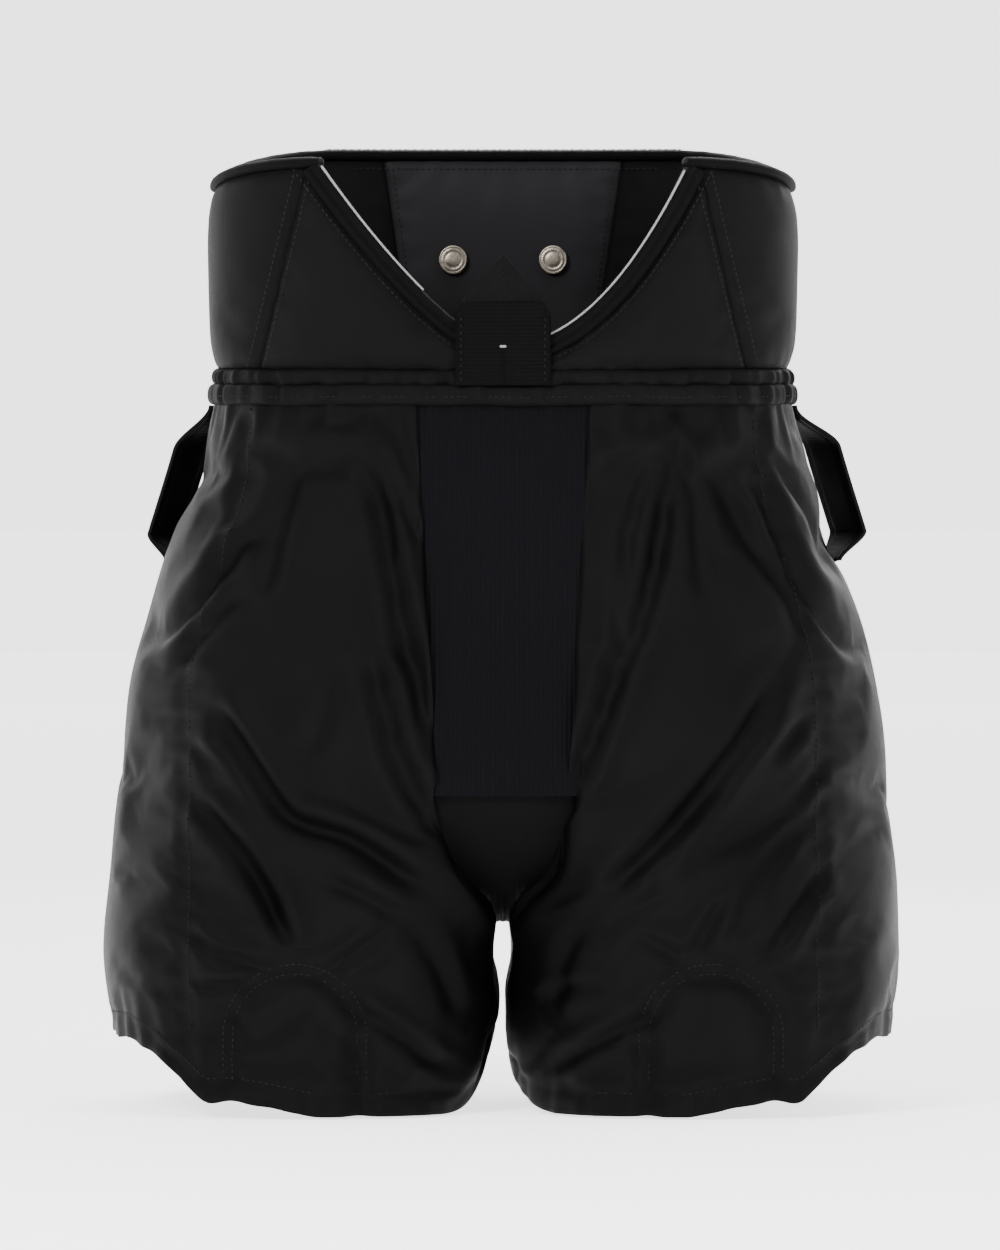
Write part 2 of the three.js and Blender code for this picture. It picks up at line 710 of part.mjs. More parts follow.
function addTab() {
  const swell = waistHalfDepth + bindingProud;
  const loopFront = -swell - 2 * seamGap - webbingThickness;
  const wrapFront = loopFront - seamGap - tabWrapThickness;
  const loopShape = tabShape(tabWidth, tabLength, tabShoulder);
  const wrapShape = tabShape(tabWrapWidth, tabWrapLength, 0);
  add('tab_loop', standingPlate(loopShape, webbingThickness, loopFront), webbing);
  add('tab_wrap', standingPlate(wrapShape, tabWrapThickness, wrapFront), webbing);
}

// Webbing loop standing off the hip, sewn down at both ends.
function addHipLoop(side) {
  const middle = (loopTopHeight + loopBottomHeight) / 2;
  const out = outwardNormal(outside, side, loopAt, middle).multiplyScalar(side.sign);
  const across = new THREE.Vector3(0, 0, 1).cross(out).normalize();
  const band = (_, t, x) => {
    const z = lerp(loopTopHeight, loopBottomHeight, t);
    const rise = smooth(0, 0.3, t) * (1 - smooth(0.86, 1.02, t));
    const off = loopStandOff * rise;
    const base = outside(side, loopAt, z).addScaledVector(across, x);
    const sag = (x * x) / (2 * waistHalfWidth);
    return base.addScaledVector(out, off + sag * (1 - rise));
  };
  add(`hip_loop_${side.name}`, layer({
    surface: band,
    region: (s, t) => [s, lerp(-0.5, 0.5, t) * loopWidth],
    width: 1.3 * (loopTopHeight - loopBottomHeight) * 2,
    height: loopWidth,
    outer: -loopThickness,
    thickness: loopThickness,
  }), webbing);
}

// Suspender button: a dished cap on a stud whose base lies on the inner face of the belt.
function addButton(name, side, x, z, back) {
  const along = alongAt(x, z, back);
  const inward = outwardNormal(outside, side, along, z).multiplyScalar(-side.sign);
  const turn = new THREE.Quaternion().setFromUnitVectors(new THREE.Vector3(0, 1, 0), inward);
  const place = (profile, lift) => {
    const seat = outside(side, along, z).addScaledVector(inward, beltThickness + studGap + lift);
    const points = profile.map(([radius, height]) => new THREE.Vector2(radius, height));
    const geometry = new THREE.LatheGeometry(points, roundSegments);
    geometry.applyQuaternion(turn);
    return geometry.translate(seat.x, seat.y, seat.z);
  };
  add(`${name}_stud`, place([
    [0, 0],
    [studBaseRadius, 0],
    [studBaseRadius, studBaseThickness],
    [studRadius, studBaseThickness],
    [studRadius, studLength],
    [0, studLength],
  ], 0), nickel);
  add(`${name}_cap`, place([
    [0, 0],
    [buttonRadius - buttonDish, 0],
    [buttonRadius, buttonDish],
    [buttonRadius - buttonDish / 2, buttonThickness],
    [0, buttonThickness],
  ], studLength + seamGap), nickel);
}

addBelt();
addWaist();
addMiddle();
for (const side of sides) {
  addUpperShell(side);
  addPads(side);
  addLeg(side);
  addHipLoop(side);
  addButton(`back_button_${side.name}`, side, backButtonX, backButtonHeight, true);
  addButton(`front_button_${side.name}_inner`, side, frontButtonInnerX, frontButtonHeight, false);
  addButton(`front_button_${side.name}_outer`, side, frontButtonOuterX, frontButtonHeight, false);
}
addTailPad();
addTab();

export default group;
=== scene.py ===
# Goalkeeper's ice hockey pants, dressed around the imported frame. Metres, +Z up, the front faces -Y.
import math
import bpy
import numpy as np
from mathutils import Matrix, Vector


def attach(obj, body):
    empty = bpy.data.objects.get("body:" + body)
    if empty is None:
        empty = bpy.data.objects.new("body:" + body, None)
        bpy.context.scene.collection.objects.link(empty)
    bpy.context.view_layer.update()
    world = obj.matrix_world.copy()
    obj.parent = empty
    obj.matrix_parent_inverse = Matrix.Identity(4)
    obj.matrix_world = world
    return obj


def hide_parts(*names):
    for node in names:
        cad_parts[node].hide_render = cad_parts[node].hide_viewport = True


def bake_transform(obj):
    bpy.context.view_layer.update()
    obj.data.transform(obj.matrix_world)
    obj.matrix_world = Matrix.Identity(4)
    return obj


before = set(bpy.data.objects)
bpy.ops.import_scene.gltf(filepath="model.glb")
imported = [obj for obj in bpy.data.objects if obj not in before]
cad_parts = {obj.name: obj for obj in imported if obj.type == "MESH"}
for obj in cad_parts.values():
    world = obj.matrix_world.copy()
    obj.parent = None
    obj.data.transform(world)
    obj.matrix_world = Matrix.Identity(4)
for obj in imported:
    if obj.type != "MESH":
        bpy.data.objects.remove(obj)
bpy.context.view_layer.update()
mm = 0.001

# Camera, light and floor
studio = {"distance": 7.0, "aimX": -0.002, "aimZ": 0.325, "frameHeight": 0.85, "lookDown": 1.5,
          "backdrop": (0.93, 0.95), "roomLight": 0.32, "backdropGlow": 1.9}
sweep = {"halfWidth": 300, "below": 0.001, "curveStart": 8, "radius": 3, "wallTop": 16}
lamps = {  # place, size, power and the point it aims at
    "keyLamp": ((-1.4, -2.5, 1.9), 0.9, 125, (0, 0, 0.34)),
    "fillLamp": ((2.0, -2.0, 1.2), 1.1, 52, (0, 0, 0.3)),
    "topLamp": ((0, -0.4, 2.3), 1.6, 36, (0, 0, 0.4)),
    "backLamp": ((0.6, 2.4, 1.5), 1.6, 22, (0, 0, 0.35)),
}


def buildStudio():
    eye = bpy.data.cameras.new("studioCamera")
    eye.lens = eye.sensor_width * studio["distance"] / studio["frameHeight"]
    eye.clip_end = 60
    cameraObject = bpy.data.objects.new("studioCamera", eye)
    tilt = math.radians(studio["lookDown"])
    away = studio["distance"]
    cameraObject.location = (studio["aimX"], -away * math.cos(tilt), studio["aimZ"] + away * math.sin(tilt))
    cameraObject.rotation_euler = (math.pi / 2 - tilt, 0, 0)
    bpy.context.collection.objects.link(cameraObject)
    bpy.context.scene.camera = cameraObject
    for name, (place, size, power, target) in lamps.items():
        lamp = bpy.data.lights.new(name, "AREA")
        lamp.energy = power
        lamp.size = size
        holder = bpy.data.objects.new(name, lamp)
        holder.location = place
        aim = np.array(target) - np.array(place)
        holder.rotation_euler = Vector(aim).to_track_quat("-Z", "Y").to_euler()
        bpy.context.collection.objects.link(holder)
    world = bpy.data.worlds.new("paleRoom")
    bpy.context.scene.world = world
    world.use_nodes = True
    room = world.node_tree.nodes["Background"].inputs
    room["Color"].default_value = (1, 1, 1, 1)
    room["Strength"].default_value = studio["roomLight"]
    # a pale sweep: the floor, a wide curve and a wall behind
    wide, low, start, radius = (sweep[key] for key in ("halfWidth", "below", "curveStart", "radius"))
    profile = [(-wide, -low), (start, -low)]
    profile += [(start + radius * math.sin(a), radius - low - radius * math.cos(a))
                for a in np.linspace(0.2, math.pi / 2, 8)]
    profile += [(start + radius, sweep["wallTop"])]
    vertices = [(x, y, z) for y, z in profile for x in (-wide, wide)]
    faces = [(2 * i, 2 * i + 1, 2 * i + 3, 2 * i + 2) for i in range(len(profile) - 1)]
    sweepMesh = bpy.data.meshes.new("paleFloor")
    sweepMesh.from_pydata(vertices, [], faces)
    floor = bpy.data.objects.new("paleFloor", sweepMesh)
    bpy.context.collection.objects.link(floor)
    return floor


floor = buildStudio()
print("studio ready")


# Body shape: the same stations as the solid parts, in millimetres
body = {
    "heights": [0, 95, 215, 290, 369, 440, 476, 498, 650],
    "halfWidths": [262, 267, 257, 249, 226, 204, 195, 195, 198],
    "halfDepths": [146, 150, 150, 148, 142, 135, 130, 130, 132],
    "legGapHalf": 7, "legCentre": 134, "legTop": 221, "boxiness": 0.11, "innerCorner": 0.87,
    "mergeStart": 115, "mergeEnd": 215, "knitLow": 44, "knitHigh": 58,
    "seamLow": 216, "seamHigh": 172, "seamTurn": 270,
}
waist = {"bottom": 476, "bandTop": 488, "rollTop": 498, "bandProud": 3, "bandThick": 7, "rollThick": 10}
belt = {
    "thick": 14, "notchBottom": 515, "peak": 641, "sideTop": 626, "backTop": 650, "notchHalf": 127,
    "powers": {-1: 1.43, 1: 2.08}, "bindingWidth": 13, "topWidth": 8, "seamBottom": 166, "seamTop": 131,
    "backBottom": 62, "backTopX": 84, "tuck": 2.4,
}
hemline = {"outerRise": 50, "frontRise": 10, "innerRise": {-1: 43, 1: 20}, "stitchLine": 16,
           "seamDepth": 1.6}
arch = {"centre": 139, "spring": 54, "radius": 42, "seamGap": 6.5, "rise": 2.6, "seamDepth": 3.2,
        "pucker": 1.3}
crotch = {"depth": 158.6, "centre": 270, "radius": 150, "front": 19, "back": 161,
          "middleHalf": 20, "backHalf": 24, "backPoint": 0.12, "easeStart": 128}


def smooth(start, end, value):
    t = np.clip((np.asarray(value, float) - start) / (end - start), 0, 1)
    return t * t * (3 - 2 * t)


def mix(a, b, t):
    return a + (b - a) * t


def stationCurve(values):
    zs, vs = np.array(body["heights"], float), np.array(values, float)
    last = len(zs) - 1
    below, above = np.maximum(np.arange(last + 1) - 1, 0), np.minimum(np.arange(last + 1) + 1, last)
    slopes = (vs[above] - vs[below]) / (zs[above] - zs[below])

    def at(z):
        z = np.clip(np.asarray(z, float), zs[0], zs[-1])
        i = np.clip(np.searchsorted(zs, z, side="right") - 1, 0, last - 1)
        span = zs[i + 1] - zs[i]
        t = (z - zs[i]) / span
        share = (1 + 2 * t) * (1 - t) ** 2
        bend = slopes[i] * t * (1 - t) ** 2 + slopes[i + 1] * t * t * (t - 1)
        return vs[i] * share + vs[i + 1] * (1 - share) + span * bend
    return at


halfWidthAt = stationCurve(body["halfWidths"])
halfDepthAt = stationCurve(body["halfDepths"])


def loopPoint(centreX, halfWidth, halfDepth, angle):
    swell = 1 + body["boxiness"] * np.sin(2 * angle) ** 2
    return centreX + halfWidth * np.sin(angle) * swell, -halfDepth * np.cos(angle) * swell


def legLoop(angle, z):
    outer, gap = halfWidthAt(z), body["legGapHalf"]
    return loopPoint((outer + gap) / 2, (outer - gap) / 2, halfDepthAt(z), angle)


def mergedAt(z):
    return smooth(body["mergeStart"], body["mergeEnd"], z)


def stack(x, y, z):
    return np.stack(np.broadcast_arrays(x, y, z), axis=-1).astype(float)


def outsideAngle(along):
    corner = body["innerCorner"]
    return -corner + along * (math.pi + 2 * corner)


def inseamAngle(along):
    corner = body["innerCorner"]
    return math.pi + corner + along * (math.pi - 2 * corner)


# along = 0 at the front middle, 0.5 at the side, 1 at the back middle
def outside(sign, along, z):
    legX, legY = legLoop(outsideAngle(along), z)
    bodyX, bodyY = loopPoint(0, halfWidthAt(z), halfDepthAt(z), along * math.pi)
    share = mergedAt(z)
    return stack(sign * mix(legX, bodyX, share), mix(legY, bodyY, share), z)


# along = 0 at the back edge of the outside, 1 at the front edge
def inseam(sign, along, z):
    legX, legY = legLoop(inseamAngle(along), z)
    share = mergedAt(z)
    return stack(sign * mix(legX, 0, share), mix(legY, halfDepthAt(z) * (1 - 2 * along), share), z)


def unit(v):
    return v / np.maximum(np.linalg.norm(v, axis=-1, keepdims=True), 1e-9)


def outward(sign, along, z):
    across = outside(sign, along + 1e-3, z) - outside(sign, along - 1e-3, z)
    up = outside(sign, along, np.asarray(z) + 0.5) - outside(sign, along, np.asarray(z) - 0.5)
    return unit(np.cross(across, up)) * sign


def alongAt(x, z, back=False):
    x, z = np.broadcast_arrays(np.asarray(x, float), np.asarray(z, float))
    near, far = np.full(x.shape, 1.0 if back else 0.0), np.full(x.shape, 0.5)
    for _ in range(34):
        middle = (near + far) / 2
        inside = outside(1, middle, z)[..., 0] < x
        near, far = np.where(inside, middle, near), np.where(inside, far, middle)
    return (near + far) / 2


def under(sign, along, z, depth=0):
    return outside(sign, along, z) - outward(sign, along, z) * np.asarray(depth)[..., None]


# the whole body in one turn: -1 back middle, -0.5 right side, 0 front, 0.5 left side, 1 back middle
def roundBody(turn, z, depth=0):
    turn = (np.asarray(turn, float) + 1) % 2 - 1
    turn, z = np.broadcast_arrays(turn, np.asarray(z, float))
    depth = np.broadcast_to(np.asarray(depth, float), turn.shape)
    left, right = under(1, np.abs(turn), z, depth), under(-1, np.abs(turn), z, depth)
    return np.where((turn < 0)[..., None], right, left)


# a turn that may run past the back middle, as a place along the outside and a turn of roundBody
def pastBack(turn):
    return np.where(turn <= 1, turn, 2 - turn), np.where(turn <= 1, turn, turn - 2)


def knitX(z):
    share = np.maximum(z - body["legTop"], 0) / (waist["bottom"] - body["legTop"])
    return mix(body["knitLow"], body["knitHigh"], share)


def sideSeamX(z):
    return mix(body["seamLow"], body["seamHigh"], smooth(body["seamTurn"], waist["bottom"], z))


def beltSeamX(z):
    share = (z - waist["rollTop"]) / (belt["peak"] - waist["rollTop"])
    return mix(belt["seamBottom"], belt["seamTop"], share)


def beltBackX(z):
    share = (z - waist["rollTop"]) / (belt["backTop"] - waist["rollTop"])
    return mix(belt["backBottom"], belt["backTopX"], share)


def beltTop(along):
    along = np.asarray(along, float)
    peakAlong = float(alongAt(belt["notchHalf"], belt["peak"]))
    front = mix(belt["peak"], belt["sideTop"], smooth(peakAlong, 0.5, along))
    back = mix(belt["sideTop"], belt["backTop"], smooth(0.5, 0.82, along))
    return np.where(along < 0.5, front, back)


def hemHeight(angle, sign=-1):
    lean = np.sin(angle)
    front = hemline["frontRise"] * smooth(-0.15, 0.35, lean) * (np.cos(angle) > 0)
    outer = np.maximum(hemline["outerRise"] * smooth(0.3, 0.85, lean), front)
    return outer + hemline["innerRise"][sign] * smooth(0.75, 1, -lean)


# Mesh helpers
def finishMesh(name, points, faces, uv=None):
    mesh = bpy.data.meshes.new(name)
    mesh.from_pydata((np.asarray(points, float).reshape(-1, 3) * mm).tolist(), [], faces)
    mesh.update()
    if uv is not None:
        layer = mesh.uv_layers.new(name="cloth")
        loopVertices = np.zeros(len(mesh.loops), int)
        mesh.loops.foreach_get("vertex_index", loopVertices)
        layer.data.foreach_set("uv", (np.asarray(uv).reshape(-1, 2) * mm)[loopVertices].ravel())
    mesh.polygons.foreach_set("use_smooth", [True] * len(mesh.polygons))
    piece = bpy.data.objects.new(name, mesh)
    bpy.context.collection.objects.link(piece)
    return piece


def gridFaces(rows, columns, closed=False, flip=False, start=0):
    faces = []
    for i in range(rows - 1):
        for j in range(columns if closed else columns - 1):
            k = (j + 1) % columns
            face = (start + i * columns + j, start + i * columns + k,
                    start + (i + 1) * columns + k, start + (i + 1) * columns + j)
            faces.append(face[::-1] if flip else face)
    return faces


def gridLengths(grid):
    across = np.cumsum(np.linalg.norm(np.diff(grid, axis=1, prepend=grid[:, :1]), axis=2), axis=1)
    up = np.cumsum(np.linalg.norm(np.diff(grid, axis=0, prepend=grid[:1]), axis=2), axis=0)
    return np.stack([across.mean(axis=0)[None, :] + 0 * up, up.mean(axis=1)[:, None] + 0 * across], axis=-1)


def readPoints(piece):
    co = np.zeros(len(piece.data.vertices) * 3)
    piece.data.vertices.foreach_get("co", co)
    return co.reshape(-1, 3) / mm


def writePoints(piece, points):
    piece.data.vertices.foreach_set("co", (np.asarray(points) * mm).ravel())
    piece.data.update()


def turnedOut(points, faces):
    # the sign of the volume they close tells which way the faces are wound
    total = 0.0
    for face in faces:
        a = points[face[0]]
        for i in range(1, len(face) - 1):
            total += np.dot(a, np.cross(points[face[i]], points[face[i + 1]]))
    return [face[::-1] for face in faces] if total < 0 else faces


def slab(front, back):
    # two grids of one size, closed round their rim; loop lists the front's rim
    rows, columns = front.shape[:2]
    count = rows * columns
    loop = list(range(columns)) + [i * columns + columns - 1 for i in range(1, rows)]
    loop += [(rows - 1) * columns + j for j in range(columns - 2, -1, -1)]
    loop += [i * columns for i in range(rows - 2, 0, -1)]
    faces = gridFaces(rows, columns) + [f[::-1] for f in gridFaces(rows, columns, start=count)]
    faces += [(b, a, count + a, count + b) for a, b in zip(loop, loop[1:] + loop[:1])]
    points = np.concatenate([front.reshape(-1, 3), back.reshape(-1, 3)])
    lengths = gridLengths(front).reshape(-1, 2)
    return points, turnedOut(points, faces), np.concatenate([lengths, lengths]), loop


def applyModifiers(piece):
    graph = bpy.context.evaluated_depsgraph_get()
    mesh = bpy.data.meshes.new_from_object(piece.evaluated_get(graph), depsgraph=graph)
    mesh.name = piece.name
    old = piece.data
    piece.modifiers.clear()
    piece.data = mesh
    bpy.data.meshes.remove(old)


def smoothRounds(piece):
    rounds = piece.modifiers.new("rounding", "SUBSURF")
    rounds.levels = rounds.render_levels = 1
    applyModifiers(piece)


def thicken(piece, thickness, offset=-1):
    wall = piece.modifiers.new("wall", "SOLIDIFY")
    wall.thickness = thickness * mm
    wall.offset = offset
    wall.use_even_offset = False
    applyModifiers(piece)


cloth = {"quality": 6, "mass": 0.25, "airDamping": 2, "pinStiffness": 5}


# Cloth pushed out by air inside; pinned points stay, the rest moves no more than the cap (mm)
def inflate(piece, pins, pressure, cap, extra, stiffness, bending, frames):
    start = readPoints(piece)
    group = piece.vertex_groups.new(name="sewn")
    for index, weight in enumerate(pins):
        if weight > 0:
            group.add([index], float(weight), "REPLACE")
    air = piece.modifiers.new("air", "CLOTH")
    settings = air.settings
    settings.quality = cloth["quality"]
    settings.mass = cloth["mass"]
    settings.tension_stiffness = stiffness
    settings.compression_stiffness = stiffness
    settings.shear_stiffness = stiffness / 3
    settings.bending_stiffness = bending
    settings.air_damping = cloth["airDamping"]
    settings.shrink_min = -extra
    settings.vertex_group_mass = "sewn"
    settings.pin_stiffness = cloth["pinStiffness"]
    settings.use_pressure = True
    settings.uniform_pressure_force = pressure
    settings.effector_weights.gravity = 0
    air.collision_settings.use_collision = False
    air.collision_settings.use_self_collision = False
    air.point_cache.frame_start = 1
    air.point_cache.frame_end = frames
    scene = bpy.context.scene
    for step in range(1, frames + 1):
        scene.frame_set(step)
    graph = bpy.context.evaluated_depsgraph_get()
    evaluated = piece.evaluated_get(graph)
    co = np.zeros(len(evaluated.data.vertices) * 3)
    evaluated.data.vertices.foreach_get("co", co)
    moved = co.reshape(-1, 3) / mm - start
    piece.modifiers.clear()
    piece.vertex_groups.clear()
    scene.frame_set(1)
    moved[~np.isfinite(moved).all(axis=1)] = 0
    length = np.linalg.norm(moved, axis=1, keepdims=True)
    writePoints(piece, start + moved * (np.tanh(length / cap) * cap / np.maximum(length, 1e-9)))


# Shader helpers: sums on wires add their Math nodes
class Wire:
    def __init__(self, maker, socket):
        self.maker, self.socket = maker, socket

    def sum(self, operation, a, b):
        return self.maker.node("ShaderNodeMath", {"operation": operation}, a, b)

    def __add__(self, other):
        return self.sum("ADD", self, other)

    def __radd__(self, other):
        return self.sum("ADD", other, self)

    def __sub__(self, other):
        return self.sum("SUBTRACT", self, other)

    def __rsub__(self, other):
        return self.sum("SUBTRACT", other, self)

    def __mul__(self, other):
        return self.sum("MULTIPLY", self, other)

    def __rmul__(self, other):
        return self.sum("MULTIPLY", other, self)


class Finish:
    def __init__(self, name, **constants):
        self.material = bpy.data.materials.new(name)
        self.material.use_nodes = True
        self.tree = self.material.node_tree
        self.shader = self.tree.nodes["Principled BSDF"]
        for socket, value in constants.items():
            self.shader.inputs[socket.replace("_", " ")].default_value = value

    def put(self, socket, value):
        if isinstance(value, Wire):
            self.tree.links.new(value.socket, socket)
        else:
            socket.default_value = value

    def node(self, kind, settings, *values, output=0, **named):
        made = self.tree.nodes.new(kind)
        for key, value in settings.items():
            setattr(made, key, value)
        for index, value in enumerate(values):
            self.put(made.inputs[index], value)
        for key, value in named.items():
            self.put(made.inputs[key.replace("_", " ")], value)
        return Wire(self, made.outputs[output])

    def surface(self, **links):
        for socket, value in links.items():
            self.put(self.shader.inputs[socket.replace("_", " ")], value)
        return self.material

    def noise(self, vector, scale, detail=3.0):
        return self.node("ShaderNodeTexNoise", {}, Vector=vector, Scale=scale, Detail=detail)

    def ripple(self, vector, scale, direction):
        return self.node("ShaderNodeTexWave", {"bands_direction": direction}, output=1,
                         Vector=vector, Scale=scale)

    def mixColour(self, factor, dark, light):
        made = self.tree.nodes.new("ShaderNodeMix")
        made.data_type = "RGBA"
        self.put(made.inputs[0], factor)
        self.put(made.inputs[6], dark)
        self.put(made.inputs[7], light)
        return Wire(self, made.outputs[2])

    def bump(self, height, distance, strength=1.0):
        return self.node("ShaderNodeBump", {}, Height=height, Distance=distance, Strength=strength)


scales = {"clouds": 9.0, "crinkle": 75.0, "grain": 420.0, "patches": 260.0, "scratches": 1400.0}


def clothFinish(name, dark, light, rough, roughSwing, pitch, weave, sheen, gloss, crinkle):
    finish = Finish(name, Sheen_Weight=sheen, Sheen_Roughness=0.45, Specular_IOR_Level=gloss)
    place = finish.node("ShaderNodeTexCoord", {}, output=2)
    spot = finish.node("ShaderNodeTexCoord", {}, output=3)
    warp, weft = finish.ripple(place, 1 / pitch, "X"), finish.ripple(place, 1 / pitch, "Y")
    clouds = finish.noise(spot, scales["clouds"], 4.0)
    grain = finish.noise(spot, scales["grain"], 2.0)
    height = warp * weft + grain * 0.4
    if crinkle:
        height = height + finish.noise(spot, scales["crinkle"], 3.0) * crinkle
    colour = finish.mixColour(clouds * 0.7 + grain * 0.3, (*dark, 1), (*light, 1))
    roughness = (clouds - 0.5) * roughSwing + (grain - 0.5) * (roughSwing * 0.7) + rough
    return finish.surface(Base_Color=colour, Roughness=roughness,
                          Normal=finish.bump(height, weave, 0.8))


# dark, light, roughness, its swing, thread pitch, weave depth (metres), sheen, gloss, crinkle
cloths = {
    "shellNylon": ((0.0009, 0.0008, 0.0008), (0.0022, 0.002, 0.002),
                   0.40, 0.12, 0.0007, 0.00008, 0.0, 0.044, 4.5),
    "beltNylon": ((0.0024, 0.0022, 0.0024), (0.0042, 0.0039, 0.0043),
                  0.50, 0.10, 0.0006, 0.0001, 0.0, 0.035, 3.0),
    "ribKnit": ((0.0015, 0.0015, 0.0021), (0.0031, 0.0031, 0.0042),
                0.88, 0.08, 0.0011, 0.00016, 0.01, 0.05, 0.0),
    "webbing": ((0.0016, 0.0016, 0.0018), (0.0044, 0.0044, 0.0048),
                0.55, 0.12, 0.0016, 0.00025, 0.0, 0.05, 0.0),
    "edgeBinding": ((0.0014, 0.0014, 0.0015), (0.003, 0.003, 0.0033),
                    0.56, 0.10, 0.0009, 0.0002, 0.0, 0.035, 0.0),
    "paleCord": ((0.13, 0.13, 0.135), (0.28, 0.28, 0.29), 0.6, 0.1, 0.0008, 0.0001, 0.0, 0.2, 0.0),
    "padCover": ((0.0035, 0.0035, 0.0038), (0.007, 0.007, 0.0078),
                 0.8, 0.1, 0.0014, 0.0002, 0.0, 0.06, 0.0),
    "thread": ((0.005, 0.005, 0.0053), (0.011, 0.011, 0.0115),
               0.5, 0.1, 0.0006, 0.0001, 0.0, 0.08, 0.0),
}
finishes = {name: clothFinish(name, *values) for name, values in cloths.items()}


def beltBackPaintedLightFinish():
    # the face turned to the wearer's back is painted lighter: painted light on a face that lies in shade; the
    # cloth is duller
    finish = Finish("beltNylonPaintedLight", Specular_IOR_Level=0.035)
    spot = finish.node("ShaderNodeTexCoord", {}, output=3)
    facing = finish.node("ShaderNodeTexCoord", {}, output=1)
    frontward = finish.node("ShaderNodeSeparateXYZ", {}, facing, output=1) * -1.0
    # painted light mask: how far a face turns to the front, towards the shaded inner face
    inner = finish.node("ShaderNodeClamp", {}, frontward * 1.6, 0.0, 1.0)
    clouds = finish.noise(spot, scales["clouds"], 4.0)
    grain = finish.noise(spot, scales["grain"], 2.0)
    dark, light = cloths["beltNylon"][:2]
    outerColour = finish.mixColour(clouds, (*dark, 1), (*light, 1))
    # painted light: a lighter colour for the inner face, standing in for the light it lacks in shade
    paintedLightColour = finish.mixColour(clouds, (0.0095, 0.0088, 0.0097, 1), (0.0125, 0.0116, 0.0128, 1))
    return finish.surface(Base_Color=finish.mixColour(inner, outerColour, paintedLightColour),
                          Roughness=clouds * 0.1 + 0.5, Normal=finish.bump(grain, 0.00008, 0.8))


def metalFinish():
    finish = Finish("agedNickel", Metallic=1.0)
    spot = finish.node("ShaderNodeTexCoord", {}, output=3)
    patches = finish.noise(spot, scales["patches"], 5.0)
    scratches = finish.noise(spot, scales["scratches"], 2.0)
    colour = finish.mixColour(patches, (0.09, 0.076, 0.062, 1), (0.34, 0.30, 0.25, 1))
    return finish.surface(Base_Color=colour, Roughness=patches * 0.3 + 0.24,
                          Normal=finish.bump(patches + scratches * 0.4, 0.00015, 0.5))


def floorFinish():
    finish = Finish("palePaper", Roughness=0.95, Emission_Color=(1, 1, 1, 1),
                    Emission_Strength=studio["backdropGlow"])
    spot = finish.node("ShaderNodeTexCoord", {}, output=3)
    cloud = finish.noise(spot, 1.5, 2.0)
    dark, light = [(tone, tone, tone, 1) for tone in studio["backdrop"]]
    return finish.surface(Base_Color=finish.mixColour(cloud, dark, light))


finishes["agedNickel"] = metalFinish()
# the belt back's finish, with painted light on its inner face
finishes["beltNylonPaintedLight"] = beltBackPaintedLightFinish()
floor.data.materials.append(floorFinish())


def dress(piece, finish):
    piece.data.materials.clear()
    piece.data.materials.append(finishes[finish])
    return piece


def sideName(sign):
    return "left" if sign > 0 else "right"


def wobble(value, seed, pitch):
    phase = seed * 1.7
    return (np.sin(value / pitch * 2 * math.pi + phase) * 0.5
            + np.sin(value / pitch * 2 * math.pi * 1.618 + phase * 2.3) * 0.32
            + np.sin(value / pitch * 2 * math.pi * 0.573 + phase * 0.7) * 0.4)


print("finishes ready")


# Nylon shell of each half: a leg tube below, an open front above, one sewn cloth
shell = {
    "columns": 112, "inseamColumns": 24, "lowRows": 44, "highRows": 46, "thick": 1.4, "inset": 2.2,
    "tuck": 2.5, "pressure": 0.9, "cap": 7.0, "extra": 0.022, "stiffness": 15.0, "bending": 0.35,
    "frames": 22, "bendStart": (-0.01, 0, 0.125), "bendEnd": (-0.08, 0, 0.02),
}
wrinkles = {"foldScale": 1.45, "backFolds": 0.62, "slack": 1.3, "waist": 1.5, "outerHem": 1.8, "hem": 0.8,
            "seamDepth": 2.2, "seamPucker": 1.1}

